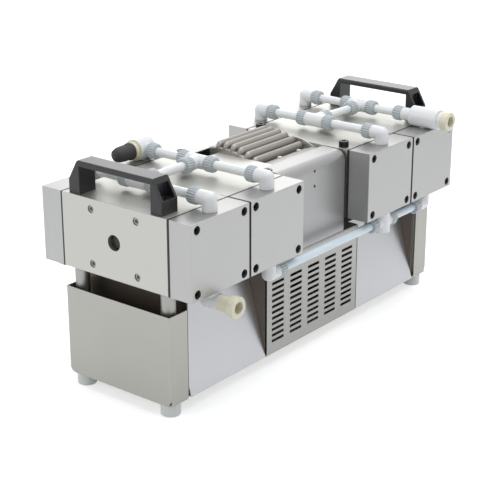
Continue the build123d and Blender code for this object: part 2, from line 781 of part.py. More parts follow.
upright = Plane(origin=(0, cover_end, 0), x_dir=(1, 0, 0), z_dir=(0, -1, 0))
with BuildPart() as motor_cover_right:
    with BuildSketch(upright):
        add(cover_profile(cover_opening_right).line)
        make_face()
    extrude(amount=2 * cover_end)
    with BuildSketch(along_x(cover_half_width - 5, 0, 0)):
        with Locations((0, cover_side_hole_high), (0, cover_side_hole_low)):
            Circle(cover_side_hole_radius)
    extrude(amount=10, mode=Mode.SUBTRACT)
save(motor_cover_right.part, "motor_cover_right")

with BuildPart() as motor_cover_left:
    with BuildSketch(upright):
        add(cover_profile(cover_opening_left).line)
        make_face()
    extrude(amount=2 * cover_end)
    with BuildSketch(along_x(cover_half_width - 5, 0, 0)):
        with Locations((0, cover_side_hole_high), (0, cover_side_hole_low)):
            Circle(cover_side_hole_radius)
    extrude(amount=10, mode=Mode.SUBTRACT)
save(mirrored(motor_cover_left.part), "motor_cover_left")

# ======== handles and corner screws ======================================
handle_top = block_top + handle_height
with BuildPart() as handle:
    with BuildSketch(Plane(origin=(0, -handle_y + handle_width / 2, 0), x_dir=(1, 0, 0), z_dir=(0, -1, 0))):
        with BuildLine():
            foot = handle_half_span
            knee = block_top + handle_leg_straight
            top_half = handle_half_span - handle_shoulder_inset
            inner = handle_half_span - handle_leg
            low = block_top + seat_gap
            Polyline(
                (foot, low),
                (foot, knee),
                (top_half, handle_top),
                (-top_half, handle_top),
                (-foot, knee),
                (-foot, low),
                (-inner, low),
                (-inner, handle_top - handle_bar),
                (inner, handle_top - handle_bar),
                (inner, low),
                (foot, low),
            )
        make_face()
    extrude(amount=handle_width)
    bar_edges = handle.edges().filter_by(Axis.X).group_by(Axis.Z)[-1]
    fillet(bar_edges, radius=2.5)
    for side in (-1, 1):
        with BuildSketch(Plane.XY.offset(knee)):
            with Locations((side * (inner + handle_pocket_wall + handle_pocket_length / 2), -handle_y)):
                Rectangle(handle_pocket_length, handle_width - 2 * handle_pocket_wall)
        extrude(amount=handle_height - handle_leg_straight - handle_bar, mode=Mode.SUBTRACT)
    with BuildSketch(Plane.XY.offset(block_top)):
        for side in (-1, 1):
            with Locations((side * (handle_half_span - handle_leg / 2), -handle_y)):
                Circle(3.2)
    extrude(amount=knee - block_top + 1, mode=Mode.SUBTRACT)
save(handle.part, "handle_front")
save(turned_end(handle.part), "handle_rear")

with BuildPart() as tie_screw:
    with BuildSketch(Plane.XY.offset(block_top + seat_gap)):
        Circle(tie_screw_head_radius)
    extrude(amount=tie_screw_head_height)
    fillet(tie_screw.edges().group_by(Axis.Z)[-1], radius=0.6)
    with BuildSketch(Plane.XY.offset(block_top - tie_screw_grip)):
        Circle(tie_screw_shank_radius - 0.05)
    extrude(amount=tie_screw_grip + 1)
    with BuildSketch(Plane.XY.offset(block_top + seat_gap + tie_screw_head_height - 4)):
        RegularPolygon(tie_screw_socket_radius, 6)
    extrude(amount=5, mode=Mode.SUBTRACT)
tie_y = motor_end + tie_screw_inset
tie_places = [Pos(x, y, 0) for x in (-tie_screw_x, tie_screw_x) for y in (-tie_y, tie_y)]
save(group(solids_at(tie_screw.part, tie_places)), "corner_cap_screws")

# ======== pipework =======================================================
# every leg of a fitting: smooth shoulder, threaded nose, tube socket
shoulder_end = 16.0
nose_end = 26.0
nose_radius = 8.0
socket_start = 18.0
nut_start = shoulder_end + seat_gap
top_stem = top_pipe_height - block_top
low_stem = block_bottom - low_pipe_height

with BuildPart() as leg:
    with BuildSketch(Plane.YZ):
        Circle(fitting_radius)
    extrude(amount=shoulder_end)
    with BuildSketch(Plane.YZ.offset(shoulder_end)):
        Circle(nose_radius)
    extrude(amount=nose_end - shoulder_end)

with BuildPart() as leg_bore:
    with BuildSketch(Plane.YZ):
        Circle(tube_bore_radius)
    extrude(amount=nose_end + 1)
    with BuildSketch(Plane.YZ.offset(socket_start)):
        Circle(tube_radius + 0.05)
    extrude(amount=nose_end + 1 - socket_start)

# ribbed union nut that clamps the tube on the nose
with BuildPart() as union_nut:
    with BuildSketch(Plane.YZ.offset(nut_start)):
        Circle(nut_radius)
    extrude(amount=nut_length)
    chamfer(union_nut.edges().group_by(Axis.X)[-1], length=1.5)
    with BuildSketch(Plane.YZ.offset(nut_start - 1)):
        Circle(nose_radius + 0.05)
    extrude(amount=nose_end + 1.2 - nut_start, mode=Mode.SUBTRACT)
    with BuildSketch(Plane.YZ.offset(nut_start - 1)):
        Circle(tube_radius + 0.05)
    extrude(amount=nut_length + 3, mode=Mode.SUBTRACT)

facing = {"+x": Rot(0, 0, 0), "-x": Rot(0, 0, 180), "+y": Rot(0, 0, 90), "-y": Rot(0, 0, -90)}

# plain elbow: stem pressed into the head, one leg
with BuildPart() as elbow:
    with BuildSketch(Plane.XY.offset(-top_stem - stem_depth)):
        Circle(stem_radius)
    extrude(amount=top_stem + stem_depth)
    with BuildSketch(Plane.XY.offset(-top_stem + seat_gap)):
        Circle(fitting_radius)
    extrude(amount=top_stem - seat_gap)
    Sphere(fitting_radius)
    add(leg.part)
    with BuildSketch(Plane.XY.offset(-top_stem - stem_depth - 1)):
        Circle(tube_bore_radius)
    extrude(amount=top_stem + stem_depth + 1, mode=Mode.SUBTRACT)
    add(leg_bore.part, mode=Mode.SUBTRACT)

top_elbow_spots = [("right", row) for row in head_rows[:3]]
top_elbow_spots += [("left", row) for row in (head_rows[0], head_rows[2], head_rows[3])]
elbow_solids = []
nut_solids = []
for side, row in top_elbow_spots:
    sign = 1 if side == "right" else -1
    spot = Pos(sign * head_port_x, row, top_pipe_height) * (facing["-x"] if sign > 0 else facing["+x"])
    elbow_solids += solids_at(elbow.part, [spot])
    nut_solids += solids_at(union_nut.part, [spot])
for sign in (-1, 1):
    for row, way in ((head_rows[1], "+y"), (head_rows[3], "-y")):
        spot = Pos(sign * low_pipe_x, row, low_pipe_height) * facing[way]
        elbow_solids += solids_at(Rot(180, 0, 0) * elbow.part, [spot])
        nut_solids += solids_at(union_nut.part, [spot])
save(group(elbow_solids), "elbow_fittings")

# tees: three legs on top, two legs and a stem below
with BuildPart() as top_tee:
    Sphere(fitting_radius)
    add(leg.part)
    add(facing["-x"] * leg.part)
    add(facing["+y"] * leg.part)
    add(leg_bore.part, mode=Mode.SUBTRACT)
    add(facing["-x"] * leg_bore.part, mode=Mode.SUBTRACT)
    add(facing["+y"] * leg_bore.part, mode=Mode.SUBTRACT)

with BuildPart() as low_tee:
    with BuildSketch(Plane.XY.offset(-6)):
        Circle(stem_radius)
    extrude(amount=6 + low_stem + stem_depth)
    with BuildSketch(Plane.XY.offset(-14)):
        Circle(12.5)
    extrude(amount=14 + low_stem - seat_gap)
    add(facing["+y"] * leg.part)
    add(facing["-y"] * leg.part)
    with BuildSketch(Plane.XY):
        Circle(tube_bore_radius)
    extrude(amount=low_stem + stem_depth + 1, mode=Mode.SUBTRACT)
    add(facing["+y"] * leg_bore.part, mode=Mode.SUBTRACT)
    add(facing["-y"] * leg_bore.part, mode=Mode.SUBTRACT)

tee_solids = []
for index, row in enumerate(head_rows):
    spot = Pos(tee_x, row, top_pipe_height)
    inward = "+y" if index % 2 == 0 else "-y"
    tee_solids += solids_at(top_tee.part, [spot if inward == "+y" else spot * facing["-x"]])
    for way in ("+x", "-x", inward):
        nut_solids += solids_at(union_nut.part, [spot * facing[way]])
for sign in (-1, 1):
    spot = Pos(sign * low_pipe_x, head_rows[2], low_pipe_height)
    tee_solids += solids_at(low_tee.part, [spot])
    for way in ("+y", "-y"):
        nut_solids += solids_at(union_nut.part, [spot * facing[way]])
save(group(tee_solids), "tee_fittings")

# ---- threaded connection ports ------------------------------------------
# the suction port on the rear right head
suction_reach_back = 20.0
with BuildPart() as suction_port:
    with BuildSketch(Plane.XY.offset(-top_stem - stem_depth)):
        Circle(stem_radius)
    extrude(amount=top_stem + stem_depth)
    with BuildSketch(Plane.YZ.offset(-suction_reach_back)):
        Circle(port_body_radius - 0.2)
    extrude(amount=suction_reach_back + port_reach - port_ring_length - 8)
    chamfer(suction_port.edges().filter_by(GeomType.CIRCLE).group_by(Axis.X)[0], length=1.5)
    with BuildSketch(Plane.YZ):
        Circle(port_neck_radius)
    extrude(amount=port_reach - port_ring_length)
    with BuildSketch(Plane.YZ.offset(port_reach - port_ring_length)):
        Circle(port_ring_radius)
    extrude(amount=port_ring_length)
    chamfer(suction_port.edges().group_by(Axis.X)[-1], length=1)
    add(Pos(-suction_reach_back, 0, 0) * facing["-x"] * leg.part)
    with BuildSketch(Plane.YZ.offset(port_reach - port_bore_depth)):
        Circle(port_bore_radius)
    extrude(amount=port_bore_depth + 1, mode=Mode.SUBTRACT)
    with BuildSketch(Plane.YZ.offset(-suction_reach_back - 1)):
        Circle(tube_bore_radius)
    extrude(amount=port_reach, mode=Mode.SUBTRACT)
    with BuildSketch(Plane.XY.offset(-top_stem - stem_depth - 1)):
        Circle(stem_bore_radius)
    extrude(amount=top_stem + stem_depth + 1, mode=Mode.SUBTRACT)
    add(Pos(-suction_reach_back, 0, 0) * facing["-x"] * leg_bore.part, mode=Mode.SUBTRACT)
suction_spot = Pos(head_port_x, head_rows[3], top_pipe_height)
save(suction_spot * suction_port.part, "suction_port")
nut_solids += solids_at(union_nut.part, [suction_spot * Pos(-suction_reach_back, 0, 0) * facing["-x"]])

# the second suction port on the front left side, closed by its cap
spigot_radius = 9.0
capped_body_front = 15.0
cap_seat = 21.0
with BuildPart() as capped_port:
    with BuildSketch(Plane.XY.offset(-top_stem - stem_depth)):
        Circle(stem_radius)
    extrude(amount=top_stem + stem_depth)
    with BuildSketch(along_y(0, -capped_body_front, 0)):
        Circle(port_body_radius - 0.2)
    extrude(amount=2 * capped_body_front)
    fillet(capped_port.edges().filter_by(GeomType.CIRCLE).group_by(Axis.Y)[-1], radius=3)
    with BuildSketch(along_y(0, -cap_seat, 0)):
        Circle(port_neck_radius)
    extrude(amount=cap_seat)
    with BuildSketch(along_y(0, -cap_seat - 18, 0)):
        Circle(spigot_radius)
    extrude(amount=18)
    add(leg.part)
    with BuildSketch(along_y(0, -cap_seat - 19, 0)):
        Circle(6)
    extrude(amount=cap_seat + 19, mode=Mode.SUBTRACT)
    with BuildSketch(Plane.XY.offset(-top_stem - stem_depth - 1)):
        Circle(tube_bore_radius)
    extrude(amount=top_stem + stem_depth + 1, mode=Mode.SUBTRACT)
    add(leg_bore.part, mode=Mode.SUBTRACT)
capped_spot = Pos(-head_port_x, head_rows[1], top_pipe_height)
save(capped_spot * capped_port.part, "capped_port")
nut_solids += solids_at(union_nut.part, [capped_spot])

# tapered closing cap that pulls off along the port
with BuildPart() as port_cap:
    cap_inner_radius = spigot_radius + cap_running_gap
    with BuildSketch(along_y(0, -cap_seat - cap_length, 0)):
        Circle(cap_tip_radius)
    with BuildSketch(along_y(0, -cap_seat - side_gap, 0)):
        Circle(cap_inner_radius + cap_wall + 0.9)
    loft()
    fillet(port_cap.edges().group_by(Axis.Y)[0], radius=2)
    with BuildSketch(along_y(0, -cap_seat - 18 - 2 * side_gap, 0)):
        Circle(cap_inner_radius)
    extrude(amount=20, mode=Mode.SUBTRACT)
save(capped_spot * port_cap.part, "port_cap")

# outlet ports under the two front heads
outlet_reach = port_face_x - low_pipe_x
outlet_back = 12.0
with BuildPart() as outlet_port:
    with BuildSketch(Plane.XY):
        Circle(stem_radius)
    extrude(amount=low_stem + stem_depth)
    with BuildSketch(Plane.XY):
        Circle(fitting_radius)
    extrude(amount=low_stem - seat_gap)
    with BuildSketch(Plane.YZ.offset(-outlet_back)):
        Circle(fitting_radius + 1.5)
    extrude(amount=outlet_back + outlet_reach - port_ring_length)
    fillet(outlet_port.edges().filter_by(GeomType.CIRCLE).group_by(Axis.X)[0], radius=2)
    with BuildSketch(Plane.YZ.offset(outlet_reach - port_ring_length)):
        Circle(port_ring_radius)
    extrude(amount=port_ring_length)
    chamfer(outlet_port.edges().group_by(Axis.X)[-1], length=1)
    with BuildSketch(Plane.YZ.offset(outlet_reach - port_bore_depth)):
        Circle(port_bore_radius)
    extrude(amount=port_bore_depth + 1, mode=Mode.SUBTRACT)
    with BuildSketch(Plane.YZ):
        Circle(tube_bore_radius)
    extrude(amount=outlet_reach, mode=Mode.SUBTRACT)
    with BuildSketch(Plane.XY):
        Circle(tube_bore_radius)
    extrude(amount=low_stem + stem_depth + 1, mode=Mode.SUBTRACT)
outlet_place = Pos(low_pipe_x, head_rows[0], low_pipe_height)
outlet_right = outlet_place * outlet_port.part
save(outlet_right, "outlet_port_right")
save(mirrored(outlet_right), "outlet_port_left")

save(group(nut_solids), "union_nuts")

# ---- straight tubes between the fittings --------------------------------
tube_inset = socket_start + seat_gap


def tube_between(start, end, plane_at):
    with BuildPart() as piece:
        with BuildSketch(plane_at(start)):
            Circle(tube_radius)
            Circle(tube_bore_radius, mode=Mode.SUBTRACT)
        extrude(amount=end - start)
    return piece.part.solids()


tube_solids = []
for index, row in enumerate(head_rows):
    right_end = head_port_x - tube_inset
    if index == 3:
        right_end -= suction_reach_back
    tube_solids += tube_between(tee_x + tube_inset, right_end, lambda x: along_x(x, row, top_pipe_height))
    tube_solids += tube_between(-head_port_x + tube_inset, tee_x - tube_inset, lambda x: along_x(x, row, top_pipe_height))
for first, second in ((0, 1), (2, 3)):
    start_y = head_rows[first] + tube_inset
    end_y = head_rows[second] - tube_inset
    tube_solids += tube_between(start_y, end_y, lambda y: along_y(tee_x, y, top_pipe_height))
for sign in (-1, 1):
    for first, second in ((1, 2), (2, 3)):
        start_y = head_rows[first] + tube_inset
        end_y = head_rows[second] - tube_inset
        tube_solids += tube_between(start_y, end_y, lambda y: along_y(sign * low_pipe_x, y, low_pipe_height))
save(group(tube_solids), "gas_tubes")

# ======== mains inlet and rocker switch on the far side ==================
far_face = -base_half_width
frame_flange = 1.5
with BuildPart() as power_inlet:
    with BuildSketch(along_x(far_face - frame_flange, inlet_y, inlet_height)):
        RectangleRounded(inlet_width + 6, inlet_tall + 6, 2)
    extrude(amount=frame_flange - seat_gap)
    with BuildSketch(along_x(far_face - seat_gap, inlet_y, inlet_height)):
        Rectangle(inlet_width, inlet_tall)
    extrude(amount=24)
    with BuildSketch(along_x(far_face - frame_flange - 1, inlet_y, inlet_height)):
        RectangleRounded(inlet_width - 5, inlet_tall - 5, 2)
    extrude(amount=19, mode=Mode.SUBTRACT)
    with BuildSketch(along_x(far_face + 14, inlet_y, inlet_height)):
        with Locations((-7, -1.5), (7, -1.5), (0, 2.5)):
            Rectangle(2, 4)
    extrude(amount=6)
    with BuildSketch(along_x(far_face + 4, inlet_y, inlet_height)):
        with Locations((-7, -1.5), (7, -1.5), (0, 2.5)):
            Rectangle(2, 4)
    extrude(amount=13)

switch_inside_length = 2 * rocker_half_length + 2.6
switch_inside_width = 2 * rocker_half_width + 0.8
with BuildPart() as switch_frame:
    with BuildSketch(along_x(far_face - frame_flange, switch_y, inlet_height)):
        RectangleRounded(2 * rocker_half_length + 9, 2 * rocker_half_width + 9, 1.5)
    extrude(amount=frame_flange - seat_gap)
    with BuildSketch(along_x(far_face - seat_gap, switch_y, inlet_height)):
        Rectangle(2 * rocker_half_length + 5, 2 * rocker_half_width + 5)
    extrude(amount=20)
    with BuildSketch(along_x(far_face - frame_flange - 1, switch_y, inlet_height)):
        Rectangle(switch_inside_length, switch_inside_width)
    extrude(amount=17, mode=Mode.SUBTRACT)
save(group([power_inlet.part, switch_frame.part]), "power_inlet_and_switch_frame")

# rocker, drawn about its pivot and set in the off position
rocker_tilt = 7.0
with BuildPart() as rocker:
    with BuildSketch(Plane.XY.offset(-rocker_half_width)):
        with BuildLine():
            Polyline(
                (-rocker_pivot_depth - 1.6, -rocker_half_length),
                (-rocker_pivot_depth - 0.4, 0),
                (-rocker_pivot_depth - 1.6, rocker_half_length),
                (2, rocker_half_length - 2),
                (2, -rocker_half_length + 2),
                close=True,
            )
        make_face()
    extrude(amount=2 * rocker_half_width)
rocker_spot = Pos(far_face - frame_flange + rocker_pivot_depth, switch_y, inlet_height)
save(rocker_spot * Rot(0, 0, rocker_tilt) * rocker.part, "switch_rocker")
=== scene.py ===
import math

import bmesh
import bpy
from mathutils import Matrix, Vector


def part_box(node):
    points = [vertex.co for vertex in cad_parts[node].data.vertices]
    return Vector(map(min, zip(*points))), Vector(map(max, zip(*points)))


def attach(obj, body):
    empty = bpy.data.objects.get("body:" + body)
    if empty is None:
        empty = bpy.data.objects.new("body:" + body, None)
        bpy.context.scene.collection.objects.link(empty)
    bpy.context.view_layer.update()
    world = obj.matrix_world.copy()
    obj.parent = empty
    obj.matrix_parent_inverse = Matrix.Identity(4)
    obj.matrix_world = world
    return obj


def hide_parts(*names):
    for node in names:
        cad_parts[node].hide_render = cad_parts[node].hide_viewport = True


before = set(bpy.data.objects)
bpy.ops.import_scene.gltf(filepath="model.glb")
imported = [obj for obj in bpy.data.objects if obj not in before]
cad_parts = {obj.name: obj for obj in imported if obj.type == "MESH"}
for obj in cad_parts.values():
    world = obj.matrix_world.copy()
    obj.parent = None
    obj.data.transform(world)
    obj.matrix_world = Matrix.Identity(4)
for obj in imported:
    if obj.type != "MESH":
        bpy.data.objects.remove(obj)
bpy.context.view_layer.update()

# ---- studio --------------------------------------------------------------
# A seamless white floor under the pump and four soft boxes: a large one above
# it, and others in front, at the side and behind. The camera is off one corner.


def srgb(red, green, blue):
    shades = []
    for value in (red, green, blue):
        part = value / 255
        shades.append(part / 12.92 if part <= 0.04045 else ((part + 0.055) / 1.055) ** 2.4)
    return (shades[0], shades[1], shades[2], 1.0)


def node_at(tree, kind, x, y, **values):
    node = tree.nodes.new(kind)
    node.location = (x, y)
    for key, value in values.items():
        setattr(node, key, value)
    return node


def seen_or_mirrored(tree):
    path = node_at(tree, "ShaderNodeLightPath", -900, 300)
    first = node_at(tree, "ShaderNodeMath", -700, 300, operation="MAXIMUM")
    second = node_at(tree, "ShaderNodeMath", -520, 300, operation="MAXIMUM")
    tree.links.new(path.outputs["Is Camera Ray"], first.inputs[0])
    tree.links.new(path.outputs["Is Glossy Ray"], first.inputs[1])
    tree.links.new(first.outputs[0], second.inputs[0])
    tree.links.new(path.outputs["Is Transmission Ray"], second.inputs[1])
    return second.outputs[0]


studio = bpy.data.worlds.new("studio")
studio.use_nodes = True
bpy.context.scene.world = studio
sky = studio.node_tree
sky.nodes.clear()
sky_out = node_at(sky, "ShaderNodeOutputWorld", 300, 0)
sky_mix = node_at(sky, "ShaderNodeMixShader", 100, 0)
sky_room = node_at(sky, "ShaderNodeBackground", -200, 100)
sky_room.inputs["Color"].default_value = (0.93, 0.96, 1.0, 1.0)
sky_room.inputs["Strength"].default_value = 0.5
sky_seen = node_at(sky, "ShaderNodeBackground", -200, -100)
sky_seen.inputs["Color"].default_value = (1.0, 1.0, 1.0, 1.0)
sky_seen.inputs["Strength"].default_value = 1.0
sky.links.new(seen_or_mirrored(sky), sky_mix.inputs[0])
sky.links.new(sky_room.outputs[0], sky_mix.inputs[1])
sky.links.new(sky_seen.outputs[0], sky_mix.inputs[2])
sky.links.new(sky_mix.outputs[0], sky_out.inputs["Surface"])

floor_mesh = bpy.data.meshes.new("studio_floor")
floor_build = bmesh.new()
bmesh.ops.create_grid(floor_build, x_segments=8, y_segments=8, size=9.0)
floor_build.to_mesh(floor_mesh)
floor_build.free()
floor = bpy.data.objects.new("studio_floor", floor_mesh)
bpy.context.collection.objects.link(floor)
floor_paper = bpy.data.materials.new("white_paper")
floor_paper.use_nodes = True
paper = floor_paper.node_tree
paper.nodes.clear()
paper_out = node_at(paper, "ShaderNodeOutputMaterial", 500, 0)
paper_sum = node_at(paper, "ShaderNodeAddShader", 300, 0)
paper_matt = node_at(paper, "ShaderNodeBsdfDiffuse", 0, 100)
paper_matt.inputs["Color"].default_value = (0.86, 0.86, 0.86, 1.0)
paper_lift = node_at(paper, "ShaderNodeEmission", 0, -100)
paper_level = node_at(paper, "ShaderNodeMath", -200, -100, operation="MULTIPLY")
paper_level.inputs[1].default_value = 0.5
paper.links.new(seen_or_mirrored(paper), paper_level.inputs[0])
paper.links.new(paper_level.outputs[0], paper_lift.inputs["Strength"])
paper.links.new(paper_matt.outputs[0], paper_sum.inputs[0])
paper.links.new(paper_lift.outputs[0], paper_sum.inputs[1])
paper.links.new(paper_sum.outputs[0], paper_out.inputs["Surface"])
floor_mesh.materials.append(floor_paper)

for lamp_name, place, size, power in (
    ("soft_box_above", (0.2, 0.3, 2.4), 2.4, 34.0),
    ("soft_box_front", (-1.3, -2.6, 1.5), 1.6, 13.0),
    ("soft_box_side", (2.6, 0.9, 1.6), 1.8, 5.0),
    ("soft_box_behind", (-2.2, 2.9, 1.3), 2.0, 24.0),
):
    lamp_data = bpy.data.lights.new(lamp_name, "AREA")
    lamp_data.shape = "SQUARE"
    lamp_data.size = size
    lamp_data.energy = power
    lamp = bpy.data.objects.new(lamp_name, lamp_data)
    lamp.location = place
    aim = Vector((0, 0, 0.15)) - Vector(place)
    lamp.rotation_euler = aim.to_track_quat("-Z", "Y").to_euler()
    bpy.context.collection.objects.link(lamp)

camera_data = bpy.data.cameras.new("camera")
camera_data.sensor_width = 36.0
camera_data.lens = 97.4
camera = bpy.data.objects.new("camera", camera_data)
camera.location = (1.109, -1.430, 0.794)
view_line = Vector((-0.5822, 0.7346, -0.3486))
camera.rotation_euler = view_line.to_track_quat("-Z", "Y").to_euler()
bpy.context.collection.objects.link(camera)
bpy.context.scene.camera = camera
bpy.context.scene.view_settings.view_transform = "Standard"

# ---- base: floor sheet, end caps, bulkheads and leaning side sheets ------
# 1.5 mm stainless sheet, ground to a satin grain, folded and screwed into a
# box that carries the pump; the leaning sides are a brighter copy of the sheet colour: painted light for
# their upward tilt.


def sockets(tree, direction, names):
    for name, kind, value in names:
        socket = tree.interface.new_socket(name=name, in_out=direction, socket_type=kind)
        if value is not None:
            socket.default_value = value


def new_group(name, inputs, outputs):
    tree = bpy.data.node_groups.new(name, "ShaderNodeTree")
    sockets(tree, "INPUT", inputs)
    sockets(tree, "OUTPUT", outputs)
    start = node_at(tree, "NodeGroupInput", -1200, 0)
    end = node_at(tree, "NodeGroupOutput", 900, 0)
    return tree, start, end


# grain: stretched fine noise over soft clouds, the look of ground sheet, with a painted highlight on the
# edges
grain_and_highlight_group, grain_in, grain_out = new_group(
    "ground_grain_and_edge_highlight",
    [
        ("Colour", "NodeSocketColor", (0.5, 0.5, 0.5, 1.0)),
        ("Stretch", "NodeSocketVector", (1.0, 1.0, 1.0)),
        ("Fineness", "NodeSocketFloat", 900.0),
        ("Contrast", "NodeSocketFloat", 0.1),
        ("Clouds", "NodeSocketFloat", 0.06),
        ("Roughness", "NodeSocketFloat", 0.35),
        ("Edge Wear And Painted Highlight", "NodeSocketFloat", 0.25),
        ("Edge Width", "NodeSocketFloat", 0.0006),
    ],
    [
        ("Colour", "NodeSocketColor", None),
        ("Roughness", "NodeSocketFloat", None),
        ("Height", "NodeSocketFloat", None),
        ("Round Normal", "NodeSocketVector", None),
    ],
)
gl = grain_and_highlight_group.links
g_coord = node_at(grain_and_highlight_group, "ShaderNodeTexCoord", -1200, 400)
g_stretch = node_at(grain_and_highlight_group, "ShaderNodeVectorMath", -980, 400, operation="MULTIPLY")
gl.new(g_coord.outputs["Object"], g_stretch.inputs[0])
gl.new(grain_in.outputs["Stretch"], g_stretch.inputs[1])
g_fine = node_at(grain_and_highlight_group, "ShaderNodeTexNoise", -780, 400)
g_fine.inputs["Detail"].default_value = 3.0
g_fine.inputs["Roughness"].default_value = 0.6
gl.new(g_stretch.outputs[0], g_fine.inputs["Vector"])
gl.new(grain_in.outputs["Fineness"], g_fine.inputs["Scale"])
g_cloud = node_at(grain_and_highlight_group, "ShaderNodeTexNoise", -780, 100)
g_cloud.inputs["Scale"].default_value = 14.0
g_cloud.inputs["Detail"].default_value = 5.0
gl.new(g_coord.outputs["Object"], g_cloud.inputs["Vector"])
g_fine_span = node_at(grain_and_highlight_group, "ShaderNodeMapRange", -560, 400)
g_fine_span.inputs["To Min"].default_value = -1.0
g_fine_span.inputs["To Max"].default_value = 1.0
gl.new(g_fine.outputs["Fac"], g_fine_span.inputs["Value"])
g_cloud_span = node_at(grain_and_highlight_group, "ShaderNodeMapRange", -560, 100)
g_cloud_span.inputs["To Min"].default_value = -1.0
g_cloud_span.inputs["To Max"].default_value = 1.0
gl.new(g_cloud.outputs["Fac"], g_cloud_span.inputs["Value"])
g_fine_part = node_at(grain_and_highlight_group, "ShaderNodeMath", -360, 400, operation="MULTIPLY")
gl.new(g_fine_span.outputs[0], g_fine_part.inputs[0])
gl.new(grain_in.outputs["Contrast"], g_fine_part.inputs[1])
g_cloud_part = node_at(grain_and_highlight_group, "ShaderNodeMath", -360, 100, operation="MULTIPLY")
gl.new(g_cloud_span.outputs[0], g_cloud_part.inputs[0])
gl.new(grain_in.outputs["Clouds"], g_cloud_part.inputs[1])
g_shade = node_at(grain_and_highlight_group, "ShaderNodeMath", -180, 250, operation="ADD")
gl.new(g_fine_part.outputs[0], g_shade.inputs[0])
gl.new(g_cloud_part.outputs[0], g_shade.inputs[1])
# a bevel probe finds the edges, which are painted brighter than the flats: part edge wear, part painted
# highlight
g_bevel = node_at(grain_and_highlight_group, "ShaderNodeBevel", -780, -300, samples=6)
gl.new(grain_in.outputs["Edge Width"], g_bevel.inputs["Radius"])
g_true = node_at(grain_and_highlight_group, "ShaderNodeNewGeometry", -780, -500)
g_dot = node_at(grain_and_highlight_group, "ShaderNodeVectorMath", -560, -400, operation="DOT_PRODUCT")
gl.new(g_bevel.outputs[0], g_dot.inputs[0])
gl.new(g_true.outputs["Normal"], g_dot.inputs[1])
g_edge_highlight = node_at(grain_and_highlight_group, "ShaderNodeMapRange", -360, -400)
g_edge_highlight.inputs["From Min"].default_value = 0.995
g_edge_highlight.inputs["From Max"].default_value = 0.8
gl.new(g_dot.outputs["Value"], g_edge_highlight.inputs["Value"])
g_edge_highlight_part = node_at(grain_and_highlight_group, "ShaderNodeMath", -180, -300, operation="MULTIPLY")
gl.new(g_edge_highlight.outputs[0], g_edge_highlight_part.inputs[0])
gl.new(grain_in.outputs["Edge Wear And Painted Highlight"], g_edge_highlight_part.inputs[1])
g_total = node_at(grain_and_highlight_group, "ShaderNodeMath", 0, 100, operation="ADD")
gl.new(g_shade.outputs[0], g_total.inputs[0])
gl.new(g_edge_highlight_part.outputs[0], g_total.inputs[1])
g_gain = node_at(grain_and_highlight_group, "ShaderNodeMath", 180, 100, operation="ADD")
gl.new(g_total.outputs[0], g_gain.inputs[0])
g_gain.inputs[1].default_value = 1.0
g_tint = node_at(grain_and_highlight_group, "ShaderNodeVectorMath", 360, 200, operation="SCALE")
gl.new(grain_in.outputs["Colour"], g_tint.inputs[0])
gl.new(g_gain.outputs[0], g_tint.inputs["Scale"])
gl.new(g_tint.outputs[0], grain_out.inputs["Colour"])
g_rough = node_at(grain_and_highlight_group, "ShaderNodeMath", 360, 0, operation="MULTIPLY_ADD")
gl.new(g_shade.outputs[0], g_rough.inputs[0])
g_rough.inputs[1].default_value = 0.5
gl.new(grain_in.outputs["Roughness"], g_rough.inputs[2])
gl.new(g_rough.outputs[0], grain_out.inputs["Roughness"])
gl.new(g_fine.outputs["Fac"], grain_out.inputs["Height"])
gl.new(g_bevel.outputs[0], grain_out.inputs["Round Normal"])


# the edge value sets how much brighter the edges are painted: part edge wear, part painted highlight
def surface(name, colour, metallic, roughness, fineness=900.0, stretch=(1, 1, 1), contrast=0.1, clouds=0.06,
            edge_wear_and_painted_highlight=0.2, edge_width=0.0006, bump=0.2, depth=0.00002, coat=0.0, subsurface=0.0):
    material = bpy.data.materials.new(name)
    material.use_nodes = True
    tree = material.node_tree
    shader = tree.nodes["Principled BSDF"]
    shader.inputs["Metallic"].default_value = metallic
    shader.inputs["Coat Weight"].default_value = coat
    if subsurface:
        shader.inputs["Subsurface Weight"].default_value = subsurface
        shader.inputs["Subsurface Radius"].default_value = (0.004, 0.004, 0.005)
        shader.inputs["Subsurface Scale"].default_value = 1.0
    grain = node_at(tree, "ShaderNodeGroup", -500, 100)
    grain.node_tree = grain_and_highlight_group
    grain.inputs["Colour"].default_value = colour
    grain.inputs["Stretch"].default_value = stretch
    grain.inputs["Fineness"].default_value = fineness
    grain.inputs["Contrast"].default_value = contrast
    grain.inputs["Clouds"].default_value = clouds
    grain.inputs["Roughness"].default_value = roughness
    grain.inputs["Edge Wear And Painted Highlight"].default_value = edge_wear_and_painted_highlight
    grain.inputs["Edge Width"].default_value = edge_width
    relief = node_at(tree, "ShaderNodeBump", -250, -200)
    relief.inputs["Strength"].default_value = bump
    relief.inputs["Distance"].default_value = depth
    tree.links.new(grain.outputs["Colour"], shader.inputs["Base Color"])
    tree.links.new(grain.outputs["Roughness"], shader.inputs["Roughness"])
    tree.links.new(grain.outputs["Height"], relief.inputs["Height"])
    tree.links.new(grain.outputs["Round Normal"], relief.inputs["Normal"])
    tree.links.new(relief.outputs["Normal"], shader.inputs["Normal"])
    return material


